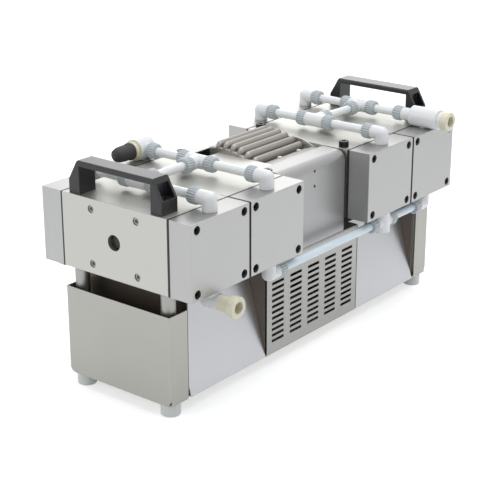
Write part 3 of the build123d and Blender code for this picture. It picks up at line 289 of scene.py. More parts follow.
# painted shade: a dark band along one axis where two machined pieces meet
joint_shade_group, joint_shade_in, joint_shade_out = new_group(
    "painted_joint_shade",
    [
        ("Colour", "NodeSocketColor", (0.5, 0.5, 0.5, 1.0)),
        ("Axis", "NodeSocketVector", (1.0, 0.0, 0.0)),
        ("Place", "NodeSocketFloat", 0.09),
        ("Half Width", "NodeSocketFloat", 0.0006),
        ("Darkness", "NodeSocketFloat", 0.9),
    ],
    [("Colour", "NodeSocketColor", None)],
)
jl = joint_shade_group.links
j_coord = node_at(joint_shade_group, "ShaderNodeTexCoord", -1200, 300)
j_along = node_at(joint_shade_group, "ShaderNodeVectorMath", -1000, 300, operation="DOT_PRODUCT")
jl.new(j_coord.outputs["Object"], j_along.inputs[0])
jl.new(joint_shade_in.outputs["Axis"], j_along.inputs[1])
j_size = node_at(joint_shade_group, "ShaderNodeMath", -820, 300, operation="ABSOLUTE")
jl.new(j_along.outputs["Value"], j_size.inputs[0])
j_near = node_at(joint_shade_group, "ShaderNodeMath", -640, 300, operation="SUBTRACT")
jl.new(j_size.outputs[0], j_near.inputs[0])
jl.new(joint_shade_in.outputs["Place"], j_near.inputs[1])
j_off = node_at(joint_shade_group, "ShaderNodeMath", -460, 300, operation="ABSOLUTE")
jl.new(j_near.outputs[0], j_off.inputs[0])
j_shade_band = node_at(joint_shade_group, "ShaderNodeMath", -280, 300, operation="LESS_THAN")
jl.new(j_off.outputs[0], j_shade_band.inputs[0])
jl.new(joint_shade_in.outputs["Half Width"], j_shade_band.inputs[1])
j_shade = node_at(joint_shade_group, "ShaderNodeMath", -100, 300, operation="MULTIPLY")
jl.new(j_shade_band.outputs[0], j_shade.inputs[0])
jl.new(joint_shade_in.outputs["Darkness"], j_shade.inputs[1])
j_keep = node_at(joint_shade_group, "ShaderNodeMath", 80, 300, operation="SUBTRACT")
j_keep.inputs[0].default_value = 1.0
jl.new(j_shade.outputs[0], j_keep.inputs[1])
j_tint = node_at(joint_shade_group, "ShaderNodeVectorMath", 260, 200, operation="SCALE")
jl.new(joint_shade_in.outputs["Colour"], j_tint.inputs[0])
jl.new(j_keep.outputs[0], j_tint.inputs["Scale"])
jl.new(j_tint.outputs[0], joint_shade_out.inputs["Colour"])


# paints a band of shade over a material's colour at a joint
def paint_joint_shade(material, axis, place, half_width, darkness):
    tree = material.node_tree
    shader = tree.nodes["Principled BSDF"]
    before = shader.inputs["Base Color"].links[0].from_socket
    joint = node_at(tree, "ShaderNodeGroup", -200, 300)
    joint.node_tree = joint_shade_group
    joint.inputs["Axis"].default_value = axis
    joint.inputs["Place"].default_value = place
    joint.inputs["Half Width"].default_value = half_width
    joint.inputs["Darkness"].default_value = darkness
    tree.links.new(before, joint.inputs["Colour"])
    tree.links.new(joint.outputs["Colour"], shader.inputs["Base Color"])


def second_colour(material, colour, axis, start, span):
    # past a plane across an axis the colour changes to a second one
    tree = material.node_tree
    shader = tree.nodes["Principled BSDF"]
    before = shader.inputs["Base Color"].links[0].from_socket
    coord = node_at(tree, "ShaderNodeTexCoord", -1100, 500)
    along = node_at(tree, "ShaderNodeVectorMath", -900, 500, operation="DOT_PRODUCT")
    along.inputs[1].default_value = axis
    share = node_at(tree, "ShaderNodeMapRange", -700, 500)
    share.inputs["From Min"].default_value = start
    share.inputs["From Max"].default_value = start + span
    blend = node_at(tree, "ShaderNodeMix", -100, 450, data_type="RGBA")
    tree.links.new(coord.outputs["Object"], along.inputs[0])
    tree.links.new(along.outputs["Value"], share.inputs["Value"])
    tree.links.new(share.outputs[0], blend.inputs["Factor"])
    tree.links.new(before, blend.inputs["A"])
    blend.inputs["B"].default_value = colour
    tree.links.new(blend.outputs["Result"], shader.inputs["Base Color"])


def finish_nodes(material, *names):
    for name in names:
        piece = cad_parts[name]
        piece.data.materials.clear()
        piece.data.materials.append(material)


ground_sheet = surface("ground_stainless_sheet", srgb(162, 161, 156), 1.0, 0.36, 700.0, (1, 1, 14),
                       0.05, 0.05)
# a brighter copy of the sheet colour for the leaning side panels: painted light for their upward tilt
painted_light_sheet = surface("leaning_sheet_with_painted_light", srgb(183, 184, 187), 1.0, 0.34, 700.0, (1, 12, 1),
                       0.05, 0.05)
# a dark brown sheet colour: painted shade for the bulkheads and the grille's folded end walls, which stand
# in shade
painted_shade_sheet = surface("painted_shade_inner_sheet", srgb(112, 104, 96), 1.0, 0.5, 700.0, (1, 1, 10), 0.06, 0.08)
finish_nodes(ground_sheet, "base_floor", "end_cap_front", "end_cap_rear")
sheet_depth = 0.0015
sheet_edge = 0.0003
wall_gap = 0.0005


def sheet_piece(name, low, high, finish):
    # a flat sheet given by two opposite corners, with rubbed edges
    build = bmesh.new()
    bmesh.ops.create_cube(build, size=1.0)
    for vert in build.verts:
        for index in range(3):
            vert.co[index] = low[index] + (vert.co[index] + 0.5) * (high[index] - low[index])
    edges = list(build.edges)
    bmesh.ops.bevel(build, geom=edges, offset=sheet_edge, segments=2, profile=0.5, affect="EDGES")
    mesh = bpy.data.meshes.new(name)
    build.to_mesh(mesh)
    build.free()
    mesh.materials.append(finish)
    piece = bpy.data.objects.new(name, mesh)
    bpy.context.collection.objects.link(piece)
    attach(piece, "frame")
    return piece


bulk_low, bulk_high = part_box("bulkheads")
pump_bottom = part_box("crank_housing_front")[0][2]
# the cross walls, from the floor sheet up to the underside of the pump blocks
for name, y_low in (
    ("bulkhead_sheet_front", bulk_low[1]),
    ("bulkhead_sheet_rear", bulk_high[1] - sheet_depth),
):
    wall_low = (bulk_low[0], y_low, bulk_low[2])
    wall_high = (bulk_high[0], y_low + sheet_depth, pump_bottom - wall_gap)
    wall = sheet_piece(name, wall_low, wall_high, painted_shade_sheet)
    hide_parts("bulkheads")
finish_nodes(painted_light_sheet, "side_panels")

# ---- slotted ventilation panels and the motor deck -----------------------
# Stainless sheet with punched slots in rows, folded round its ends; the deck
# sheet over it carries the motor and closes the ventilation box.

grille_sheet = surface("punched_stainless_sheet", srgb(158, 158, 155), 1.0, 0.36, 700.0, (1, 12,
                       1), 0.05, 0.05)
finish_nodes(grille_sheet, "motor_deck")
slot_size = (0.0265, 0.0042)
slot_gaps = (0.0407, 0.00835)
top_row = 0.120
slot_columns = 5
slot_rows = 11
slot_clearance = 0.003
fold_rise = 0.002
round_hole_height = 0.1310
round_hole_radius = 0.0018
round_hole_border = 0.0010


def slotted_panel(node, side, holes):
    # one face sheet cut into cells round its slots, two folded end walls in the painted shade colour
    low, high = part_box(node)
    face = high[0] if side > 0 else low[0]
    reach = round_hole_radius + round_hole_border
    square = (-reach, reach, round_hole_height - reach, round_hole_height + reach)
    holes = holes + [square]
    y_marks = {low[1], high[1]}
    z_marks = {low[2], high[2]}
    for y_low, y_high, z_low, z_high in holes:
        y_marks |= {y_low, y_high}
        z_marks |= {z_low, z_high}
    y_marks = sorted(y_marks)
    z_marks = sorted(z_marks)
    build = bmesh.new()
    corner = {}
    for y in y_marks:
        for z in z_marks:
            corner[(y, z)] = build.verts.new((face, y, z))
    for y_low, y_high in zip(y_marks, y_marks[1:]):
        for z_low, z_high in zip(z_marks, z_marks[1:]):
            y = (y_low + y_high) / 2
            z = (z_low + z_high) / 2
            if any(a < y < b and c < z < d for a, b, c, d in holes):
                continue
            cell = ((y_low, z_low), (y_high, z_low), (y_high, z_high), (y_low, z_high))
            ring = [corner[place] for place in cell]
            build.faces.new(ring if side > 0 else ring[::-1])
    # the square cell round the small hole, filled up to a circle of 16 sides
    y_left, y_right, z_bottom, z_top = square
    square_places = ((y_right, z_top), (y_left, z_top), (y_left, z_bottom), (y_right, z_bottom))
    square_corners = [corner[place] for place in square_places]
    circle = []
    for step in range(16):
        turn = math.radians(45 + 22.5 * step)
        y = round_hole_radius * math.cos(turn)
        z = round_hole_height + round_hole_radius * math.sin(turn)
        circle.append(build.verts.new((face, y, z)))
    for quarter in range(4):
        arc = [circle[(4 * quarter + step) % 16] for step in range(4, -1, -1)]
        ring = [square_corners[quarter], square_corners[(quarter + 1) % 4]] + arc
        build.faces.new(ring if side > 0 else ring[::-1])
    loose = [vert for vert in build.verts if not vert.link_faces]
    bmesh.ops.delete(build, geom=loose, context="VERTS")
    inner = high[0] if side < 0 else low[0]
    fold_low = low[2] + fold_rise
    fold_places = ((inner, fold_low), (face, fold_low), (face, high[2]), (inner, high[2]))
    for y, turn in ((low[1], 1), (high[1], -1)):
        wall = [build.verts.new((x, y, z)) for x, z in fold_places]
        wall_face = build.faces.new(wall if side * turn > 0 else wall[::-1])
        wall_face.material_index = 1
    mesh = bpy.data.meshes.new("slotted_" + node)
    build.to_mesh(mesh)
    build.free()
    mesh.materials.append(grille_sheet)
    mesh.materials.append(painted_shade_sheet)
    piece = bpy.data.objects.new("slotted_" + node, mesh)
    bpy.context.collection.objects.link(piece)
    thick = piece.modifiers.new("thickness", "SOLIDIFY")
    thick.thickness = sheet_depth
    thick.offset = -1.0
    graph = bpy.context.evaluated_depsgraph_get()
    solid = bpy.data.meshes.new_from_object(piece.evaluated_get(graph))
    piece.modifiers.clear()
    piece.data = solid
    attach(piece, "frame")
    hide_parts(node)


slots = []
for column in range(slot_columns):
    for line in range(slot_rows):
        y = (column - 2) * slot_gaps[0]
        z = top_row - line * slot_gaps[1]
        half_long, half_high = slot_size[0] / 2, slot_size[1] / 2
        slots.append((y - half_long, y + half_long, z - half_high, z + half_high))
slotted_panel("grille_panel_right", 1, slots)
# the cut-outs for the mains inlet and its switch: low y, high y, low z, high z
inlet_hole = (0.0347, 0.0653, 0.0807, 0.1033)
switch_hole = (-0.0048, 0.0208, 0.0827, 0.1013)


def clear_of(slot, hole):
    beside = slot[1] < hole[0] - slot_clearance or slot[0] > hole[1] + slot_clearance
    clear_in_height = slot[3] < hole[2] - slot_clearance or slot[2] > hole[3] + slot_clearance
    return beside or clear_in_height


far_slots = [slot for slot in slots if clear_of(slot, inlet_hole) and clear_of(slot, switch_hole)]
slotted_panel("grille_panel_left", -1, far_slots + [inlet_hole, switch_hole])

# ---- support posts and feet ----------------------------------------------
# Four turned bright steel posts hold the pump clear of the base; under each
# stands a moulded pale elastomer foot on the same bolt.

bright_bar = surface("turned_bright_steel", srgb(158, 157, 154), 1.0, 0.42, 900.0, (1, 1, 30), 0.08, 0.04)
pale_elastomer = surface("pale_elastomer", srgb(222, 224, 222), 0.0, 0.45, 500.0, (1, 1, 1), 0.02, 0.03,
                         0.03, 0.001, 0.3, 0.00005, 0.0, 0.4)
finish_nodes(bright_bar, "support_posts")
finish_nodes(pale_elastomer, "feet")

# ---- crank housings and cover plates -------------------------------------
# Two aluminium housings with a bead-blasted skin, each closed by a thick
# cover plate with four slotted screws round a dark shaft window.

blasted_aluminium = surface("blasted_aluminium", srgb(184, 184, 179), 1.0, 0.46, 2600.0, (1, 1, 1),
                            0.05, 0.03)
plain_steel = surface("plain_steel", srgb(150, 150, 150), 1.0, 0.35, 1500.0, (1, 1, 1), 0.1, 0.08)
finish_nodes(blasted_aluminium, "crank_housing_front", "crank_housing_rear")
finish_nodes(blasted_aluminium, "cover_plate_front", "cover_plate_rear")
finish_nodes(plain_steel, "plate_screws")
head_joint_x = 0.09
head_joint_shade_half_width = 0.0017
# a band of painted shade along the joint at |x| = 0.09
paint_joint_shade(blasted_aluminium, (1, 0, 0), head_joint_x, head_joint_shade_half_width, 0.85)

# ---- pump heads and their screws -----------------------------------------
# Eight machined aluminium heads, milled flat and lightly blasted, each held
# by four cylinder screws sunk in deep counterbores.

milled_aluminium = surface("milled_aluminium", srgb(172, 172, 171), 1.0, 0.42, 2200.0, (1, 1, 1),
                           0.05, 0.03)
head_gap_y = 0.189
head_gap_shade_half_width = 0.0021
# bands of painted shade along the joint at |x| = 0.09 and in the gaps between the heads at |y| = 0.189
paint_joint_shade(milled_aluminium, (1, 0, 0), head_joint_x, head_joint_shade_half_width, 0.85)
paint_joint_shade(milled_aluminium, (0, 1, 0), head_gap_y, head_gap_shade_half_width, 0.9)
for row in ("1", "2", "3", "4"):
    finish_nodes(milled_aluminium, "head_right_" + row, "head_left_" + row)
sunk_screw = surface("oiled_black_screw", srgb(34, 34, 35), 1.0, 0.45, 1500.0, (1, 1, 1), 0.1, 0.08, 0.1)
finish_nodes(sunk_screw, "head_screws")

# ---- diaphragms, valve plates and valve discs ----------------------------
# Inside each head: a clamped elastomer diaphragm, a machined valve plate and
# two loose valve discs.

black_elastomer = surface("black_elastomer", srgb(45, 45, 45), 0.0, 0.6, 900.0, (1, 1, 1), 0.05,
                          0.05, 0.02)
white_resin = surface("white_resin", srgb(226, 226, 222), 0.0, 0.4, 900.0, (1, 1, 1), 0.02, 0.02, 0.02)
finish_nodes(black_elastomer, "diaphragms", "valve_discs")
finish_nodes(white_resin, "valve_plates")

# ---- crankshaft, bearings, counterweights and rods -----------------------
# A ground steel shaft with eccentrics on sealed ball bearings; die-cast rods
# run from the bearings to the diaphragms.

ground_steel = surface("ground_shaft_steel", srgb(176, 176, 178), 1.0, 0.22, 1500.0, (1, 20, 1),
                       0.08, 0.05)
cast_rod = surface("die_cast_rod", srgb(170, 170, 168), 1.0, 0.5, 900.0, (1, 1, 1), 0.1, 0.08)
# the crankshaft, whose end shows in the cover window, is coloured dark
dark_shaft = surface("dark_shaft_end", srgb(62, 60, 57), 1.0, 0.3, 1500.0, (1, 20, 1), 0.1, 0.08, 0.5)
finish_nodes(dark_shaft, "crankshaft")
finish_nodes(ground_steel, "big_end_bearings", "shaft_bearings", "counterweights")
for row in ("1", "2", "3", "4"):
    finish_nodes(cast_rod, "rod_right_" + row, "rod_left_" + row)

# ---- motor ---------------------------------------------------------------
# A finned die-cast aluminium barrel between two end shields, with a wound
# stator, a rotor on the crankshaft and a moulded fan.

cast_fins = surface("die_cast_fins", srgb(152, 149, 144), 1.0, 0.46, 700.0, (1, 1, 1), 0.14, 0.1, 0.3)
varnished_stack = surface("varnished_stack", srgb(96, 90, 86), 1.0, 0.5, 900.0, (1, 40, 1), 0.2, 0.1)
black_moulding = surface("black_moulding", srgb(40, 40, 42), 0.0, 0.5, 900.0, (1, 1, 1), 0.06, 0.05, 0.05)
cast_shield = surface("machined_end_shield", srgb(200, 199, 195), 1.0, 0.45, 1400.0, (1, 1, 1),
                      0.06, 0.05, 0.2)
finish_nodes(cast_shield, "end_shields")
finish_nodes(varnished_stack, "rotor")
# the wound stack, drawn smaller so that it stays inside the arched casting
stator_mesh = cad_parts["stator"].data.copy()
stator_mesh.name = "wound_stator"
shaft_z = 0.218
stack_radius = 0.042
outer_skin = 0.048
for vert in stator_mesh.vertices:
    out = math.hypot(vert.co.x, vert.co.z - shaft_z)
    if out > outer_skin:
        vert.co.x *= stack_radius / out
        vert.co.z = shaft_z + (vert.co.z - shaft_z) * stack_radius / out
stator_mesh.materials.clear()
stator_mesh.materials.append(varnished_stack)
wound_stator = bpy.data.objects.new("wound_stator", stator_mesh)
bpy.context.collection.objects.link(wound_stator)
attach(wound_stator, "frame")
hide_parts("stator")
finish_nodes(black_moulding, "cooling_fan")

# the finned barrel: thick rounded ribs along the shaft over an arched casting
rib_front = -0.0398
rib_rear = 0.0738
rib_pitch = 0.0125
rib_count = 7
rib_half_width = 0.0051
rib_tallness = 1.65
first_rib_x = -0.0512
boss_rise = 0.0072
crown_x = -0.042
crown_z = 0.2735
arch_radius = 0.115
ledge_z = 0.2640


def arch_height(x):
    return crown_z - arch_radius + math.sqrt(arch_radius ** 2 - (x - crown_x) ** 2)


def new_modifier_group(name, inputs):
    tree = bpy.data.node_groups.new(name, "GeometryNodeTree")
    tree.interface.new_socket(name="Geometry", in_out="INPUT", socket_type="NodeSocketGeometry")
    for socket_name, kind, value in inputs:
        socket = tree.interface.new_socket(name=socket_name, in_out="INPUT", socket_type=kind)
        if value is not None:
            socket.default_value = value
    tree.interface.new_socket(name="Geometry", in_out="OUTPUT", socket_type="NodeSocketGeometry")
    start = node_at(tree, "NodeGroupInput", -1400, 0)
    end = node_at(tree, "NodeGroupOutput", 1200, 0)
    return tree, start, end


def made_mesh(name, tree, values, points=()):
    # runs a node tree on a small carrier mesh and keeps the plain result
    carrier_mesh = bpy.data.meshes.new(name + "_carrier")
    carrier_mesh.from_pydata([tuple(place) for place, line in points], [], [])
    if points:
        lines = carrier_mesh.attributes.new("line", "FLOAT_VECTOR", "POINT")
        for index, (place, line) in enumerate(points):
            lines.data[index].vector = line
    carrier = bpy.data.objects.new(name + "_carrier", carrier_mesh)
    bpy.context.collection.objects.link(carrier)
    maker = carrier.modifiers.new("maker", "NODES")
    maker.node_group = tree
    for item in tree.interface.items_tree:
        if item.in_out == "INPUT" and item.name in values:
            maker[item.identifier] = values[item.name]
    evaluated = carrier.evaluated_get(bpy.context.evaluated_depsgraph_get())
    mesh = bpy.data.meshes.new_from_object(evaluated)
    mesh.name = name
    carrier.modifiers.remove(maker)
    bpy.data.objects.remove(carrier)
    piece = bpy.data.objects.new(name, mesh)
    bpy.context.collection.objects.link(piece)
    return piece


rib_tree, rib_in, rib_out = new_modifier_group(
    "rounded_ribs",
    [
        ("Count", "NodeSocketInt", 9),
        ("Pitch", "NodeSocketFloat", 0.0125),
        ("Front", "NodeSocketFloat", 0.0),
        ("Rear", "NodeSocketFloat", 0.1),
        ("Half Width", "NodeSocketFloat", 0.004),
        ("Tallness", "NodeSocketFloat", 2.2),
        ("Crown X", "NodeSocketFloat", 0.0),
        ("Crown Z", "NodeSocketFloat", 0.27),
        ("Arch Radius", "NodeSocketFloat", 0.09),
        ("First X", "NodeSocketFloat", 0.0),
        ("Finish", "NodeSocketMaterial", None),
    ],
)
rl = rib_tree.links
r_line = node_at(rib_tree, "GeometryNodeCurvePrimitiveLine", -1000, 400)
r_start = node_at(rib_tree, "ShaderNodeCombineXYZ", -1200, 450)
r_stop = node_at(rib_tree, "ShaderNodeCombineXYZ", -1200, 350)
rl.new(rib_in.outputs["Front"], r_start.inputs["Y"])
rl.new(rib_in.outputs["Rear"], r_stop.inputs["Y"])
rl.new(r_start.outputs[0], r_line.inputs["Start"])
rl.new(r_stop.outputs[0], r_line.inputs["End"])
r_steps = node_at(rib_tree, "GeometryNodeResampleCurve", -800, 400)
r_steps.inputs["Count"].default_value = 49
rl.new(r_line.outputs[0], r_steps.inputs["Curve"])
r_along = node_at(rib_tree, "GeometryNodeSplineParameter", -1200, 150)
r_mid = node_at(rib_tree, "ShaderNodeMath", -1020, 150, operation="SUBTRACT")
r_mid.inputs[1].default_value = 0.5
r_side = node_at(rib_tree, "ShaderNodeMath", -860, 150, operation="ABSOLUTE")
r_end = node_at(rib_tree, "ShaderNodeMapRange", -700, 150)
r_end.inputs["From Min"].default_value = 0.5
r_end.inputs["From Max"].default_value = 0.455
r_end.inputs["To Min"].default_value = 0.0
r_end.inputs["To Max"].default_value = 1.0
r_root = node_at(rib_tree, "ShaderNodeMath", -520, 150, operation="POWER")
r_root.inputs[1].default_value = 0.45
r_least = node_at(rib_tree, "ShaderNodeMath", -360, 150, operation="MAXIMUM")
r_least.inputs[1].default_value = 0.25
rl.new(r_along.outputs["Factor"], r_mid.inputs[0])
rl.new(r_mid.outputs[0], r_side.inputs[0])
rl.new(r_side.outputs[0], r_end.inputs["Value"])
rl.new(r_end.outputs[0], r_root.inputs[0])
rl.new(r_root.outputs[0], r_least.inputs[0])
r_ring = node_at(rib_tree, "GeometryNodeCurvePrimitiveCircle", -800, 650)
r_ring.inputs["Resolution"].default_value = 20
rl.new(rib_in.outputs["Half Width"], r_ring.inputs["Radius"])
r_tall = node_at(rib_tree, "GeometryNodeTransform", -600, 650)
r_scale = node_at(rib_tree, "ShaderNodeCombineXYZ", -800, 800)
r_scale.inputs["X"].default_value = 1.0
r_scale.inputs["Z"].default_value = 1.0
rl.new(rib_in.outputs["Tallness"], r_scale.inputs["Y"])
rl.new(r_ring.outputs[0], r_tall.inputs["Geometry"])
rl.new(r_scale.outputs[0], r_tall.inputs["Scale"])
r_bar = node_at(rib_tree, "GeometryNodeCurveToMesh", -200, 400)
r_bar.inputs["Fill Caps"].default_value = True
rl.new(r_steps.outputs[0], r_bar.inputs["Curve"])
rl.new(r_tall.outputs[0], r_bar.inputs["Profile Curve"])
rl.new(r_least.outputs[0], r_bar.inputs["Scale"])
r_row = node_at(rib_tree, "GeometryNodeMeshLine", -600, -100)
r_from = node_at(rib_tree, "ShaderNodeCombineXYZ", -800, -100)
r_gap = node_at(rib_tree, "ShaderNodeCombineXYZ", -800, -250)
rl.new(rib_in.outputs["First X"], r_from.inputs["X"])
rl.new(rib_in.outputs["Pitch"], r_gap.inputs["X"])
rl.new(rib_in.outputs["Count"], r_row.inputs["Count"])
rl.new(r_from.outputs[0], r_row.inputs["Start Location"])
rl.new(r_gap.outputs[0], r_row.inputs["Offset"])
# lift every rib onto the arch: z = crown - (radius - sqrt(radius^2 - dx^2))
r_place = node_at(rib_tree, "GeometryNodeInputPosition", -600, -400)
r_split = node_at(rib_tree, "ShaderNodeSeparateXYZ", -440, -400)
r_dx = node_at(rib_tree, "ShaderNodeMath", -280, -400, operation="SUBTRACT")
r_dx2 = node_at(rib_tree, "ShaderNodeMath", -120, -400, operation="MULTIPLY")
r_r2 = node_at(rib_tree, "ShaderNodeMath", -280, -560, operation="MULTIPLY")
r_less = node_at(rib_tree, "ShaderNodeMath", 40, -400, operation="SUBTRACT")
r_sqrt = node_at(rib_tree, "ShaderNodeMath", 200, -400, operation="SQRT")
r_base = node_at(rib_tree, "ShaderNodeMath", 200, -560, operation="SUBTRACT")
r_z = node_at(rib_tree, "ShaderNodeMath", 360, -400, operation="ADD")
r_lift = node_at(rib_tree, "ShaderNodeCombineXYZ", 520, -400)
r_set = node_at(rib_tree, "GeometryNodeSetPosition", 360, -100)
rl.new(r_place.outputs[0], r_split.inputs[0])
rl.new(r_split.outputs["X"], r_dx.inputs[0])
rl.new(rib_in.outputs["Crown X"], r_dx.inputs[1])
rl.new(r_dx.outputs[0], r_dx2.inputs[0])
rl.new(r_dx.outputs[0], r_dx2.inputs[1])
rl.new(rib_in.outputs["Arch Radius"], r_r2.inputs[0])
rl.new(rib_in.outputs["Arch Radius"], r_r2.inputs[1])
rl.new(r_r2.outputs[0], r_less.inputs[0])
rl.new(r_dx2.outputs[0], r_less.inputs[1])
rl.new(r_less.outputs[0], r_sqrt.inputs[0])
rl.new(rib_in.outputs["Crown Z"], r_base.inputs[0])
rl.new(rib_in.outputs["Arch Radius"], r_base.inputs[1])
rl.new(r_sqrt.outputs[0], r_z.inputs[0])
rl.new(r_base.outputs[0], r_z.inputs[1])
rl.new(r_z.outputs[0], r_lift.inputs["Z"])
rl.new(r_row.outputs[0], r_set.inputs["Geometry"])
rl.new(r_lift.outputs[0], r_set.inputs["Offset"])
r_on = node_at(rib_tree, "GeometryNodeInstanceOnPoints", 560, 100)
rl.new(r_set.outputs[0], r_on.inputs["Points"])
rl.new(r_bar.outputs[0], r_on.inputs["Instance"])
r_real = node_at(rib_tree, "GeometryNodeRealizeInstances", 740, 100)
r_smooth = node_at(rib_tree, "GeometryNodeSetShadeSmooth", 880, 100)
r_mat = node_at(rib_tree, "GeometryNodeSetMaterial", 1040, 100)
rl.new(r_on.outputs[0], r_real.inputs[0])
rl.new(r_real.outputs[0], r_smooth.inputs["Geometry"])
rl.new(r_smooth.outputs[0], r_mat.inputs["Geometry"])
rl.new(rib_in.outputs["Finish"], r_mat.inputs["Material"])
rl.new(r_mat.outputs[0], rib_out.inputs[0])
motor_ribs = made_mesh("motor_ribs", rib_tree, {
    "Count": rib_count, "Pitch": rib_pitch, "Front": rib_front, "Rear": rib_rear,
    "Half Width": rib_half_width, "Tallness": rib_tallness,
    "Crown X": crown_x, "Crown Z": crown_z, "Arch Radius": arch_radius,
    "First X": first_rib_x, "Finish": cast_fins})
rib_build = bmesh.new()
rib_build.from_mesh(motor_ribs.data)
outer_rib_x = first_rib_x + (rib_count - 1) * rib_pitch
outer_rib_z = arch_height(outer_rib_x) + boss_rise
for boss_y in (0.006, 0.050):
    place = Matrix.Translation((outer_rib_x, boss_y, outer_rib_z))
    boss = bmesh.ops.create_cone(rib_build, cap_ends=True, segments=24, radius1=0.0042, radius2=0.0030,
                                 depth=0.005, matrix=place)
    for vert in boss["verts"]:
        for face in vert.link_faces:
            face.smooth = len(face.verts) == 4
rib_build.to_mesh(motor_ribs.data)
rib_build.free()
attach(motor_ribs, "frame")

arch_steps = 24
arch_left = -0.066
arch_right = 0.030
profile = []
for step in range(arch_steps + 1):
    x = arch_left + (arch_right - arch_left) * step / arch_steps
    profile.append((x, arch_height(x)))
# then down the ledge on the right and round the underside
profile += [
    (0.0305, ledge_z - 0.004), (0.0315, ledge_z), (0.054, ledge_z), (0.054, 0.200),
    (0.030, 0.168), (-0.030, 0.168), (-0.062, 0.200),
]
barrel_build = bmesh.new()
front_ring = [barrel_build.verts.new((x, rib_front, z)) for x, z in profile]
barrel_face = barrel_build.faces.new(front_ring)
pushed = bmesh.ops.extrude_face_region(barrel_build, geom=[barrel_face])
moved = [item for item in pushed["geom"] if isinstance(item, bmesh.types.BMVert)]
bmesh.ops.translate(barrel_build, verts=moved, vec=(0, rib_rear - rib_front, 0))
bmesh.ops.recalc_face_normals(barrel_build, faces=barrel_build.faces)
barrel_mesh = bpy.data.meshes.new("motor_barrel")
barrel_build.to_mesh(barrel_mesh)
barrel_build.free()
barrel_mesh.materials.append(cast_fins)
motor_barrel = bpy.data.objects.new("motor_barrel", barrel_mesh)
bpy.context.collection.objects.link(motor_barrel)
barrel_edge = motor_barrel.modifiers.new("edge", "BEVEL")
barrel_edge.width = 0.0015
barrel_edge.segments = 2
barrel_edge.angle_limit = math.radians(35)
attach(motor_barrel, "frame")
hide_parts("motor_housing")

# ---- motor covers --------------------------------------------------------
# Folded stainless sheets over both sides of the motor, rounded at the
# shoulders and open over the fins.

cover_sheet = surface("folded_cover_sheet", srgb(160, 160, 160), 1.0, 0.4, 700.0, (1, 12, 1), 0.05, 0.05)
finish_nodes(cover_sheet, "motor_cover_right", "motor_cover_left")

# ---- carrying handles ----------------------------------------------------
# Two moulded bridge handles in black glass-filled plastic, hollow under the
# bar and screwed down through their feet.

handle_plastic = surface("black_handle_plastic", srgb(31, 31, 33), 0.0, 0.34, 2400.0, (1, 1, 1),
                         0.08, 0.04,
                         0.25, 0.0015, 0.3, 0.00004)
finish_nodes(handle_plastic, "handle_front", "handle_rear")

# ---- corner cap screws ---------------------------------------------------
# Four black socket screws that clamp the motor bay between the housings.

blackened_steel = surface("blackened_steel", srgb(44, 44, 46), 1.0, 0.35, 1500.0, (1, 1, 1), 0.1,
                          0.08, 0.4)
finish_nodes(blackened_steel, "corner_cap_screws")

# ---- elbows and tees -----------------------------------------------------
# White waxy fluoropolymer fittings screwed into the heads.

white_fitting = surface("white_fluoropolymer", srgb(233, 234, 235), 0.0, 0.32, 600.0, (1, 1, 1),
                        0.015, 0.02,
                        0.03, 0.001, 0.2, 0.00003, 0.15, 0.35)
finish_nodes(white_fitting, "elbow_fittings", "tee_fittings")

# ---- union nuts ----------------------------------------------------------
# Moulded pale grey union nuts with ribs round their grip.

nut_plastic = surface("pale_grey_nut", srgb(186, 193, 196), 0.0, 0.4, 900.0, (1, 1, 1), 0.02, 0.03,
                      0.05, 0.0008, 0.2, 0.00003, 0.0, 0.2)
nut_tree, nut_in, nut_out = new_modifier_group(
    "ribbed_nuts",
    [
        ("Radius", "NodeSocketFloat", 0.011),
        ("Length", "NodeSocketFloat", 0.014),
        ("Ribs", "NodeSocketInt", 20),
        ("Rib Depth", "NodeSocketFloat", 0.06),
        ("Finish", "NodeSocketMaterial", None),
    ],
)
nl = nut_tree.links
n_body = node_at(nut_tree, "GeometryNodeMeshCylinder", -1000, 300)
n_around = node_at(nut_tree, "ShaderNodeMath", -1200, 300, operation="MULTIPLY")
n_around.inputs[1].default_value = 6.0
nl.new(nut_in.outputs["Ribs"], n_around.inputs[0])
nl.new(n_around.outputs[0], n_body.inputs["Vertices"])
nl.new(nut_in.outputs["Radius"], n_body.inputs["Radius"])
nl.new(nut_in.outputs["Length"], n_body.inputs["Depth"])
n_body.inputs["Side Segments"].default_value = 8
n_spot = node_at(nut_tree, "GeometryNodeInputPosition", -1200, 0)
n_split = node_at(nut_tree, "ShaderNodeSeparateXYZ", -1040, 0)
n_turn = node_at(nut_tree, "ShaderNodeMath", -880, 60, operation="ARCTAN2")
n_wave = node_at(nut_tree, "ShaderNodeMath", -720, 60, operation="MULTIPLY")
n_sine = node_at(nut_tree, "ShaderNodeMath", -560, 60, operation="SINE")
n_square = node_at(nut_tree, "ShaderNodeMapRange", -400, 60)
n_square.inputs["From Min"].default_value = -0.35
n_square.inputs["From Max"].default_value = 0.35
n_square.inputs["To Min"].default_value = 1.0
n_square.inputs["To Max"].default_value = 0.0
nl.new(n_spot.outputs[0], n_split.inputs[0])
nl.new(n_split.outputs["Y"], n_turn.inputs[0])
nl.new(n_split.outputs["X"], n_turn.inputs[1])
nl.new(n_turn.outputs[0], n_wave.inputs[0])
nl.new(nut_in.outputs["Ribs"], n_wave.inputs[1])
nl.new(n_wave.outputs[0], n_sine.inputs[0])
nl.new(n_sine.outputs[0], n_square.inputs["Value"])
n_half = node_at(nut_tree, "ShaderNodeMath", -880, -200, operation="DIVIDE")
n_end = node_at(nut_tree, "ShaderNodeMath", -720, -200, operation="ABSOLUTE")
n_round = node_at(nut_tree, "ShaderNodeMapRange", -560, -200)
n_round.inputs["From Min"].default_value = 0.34
n_round.inputs["From Max"].default_value = 0.5
n_round.inputs["To Max"].default_value = 0.13
nl.new(n_split.outputs["Z"], n_half.inputs[0])
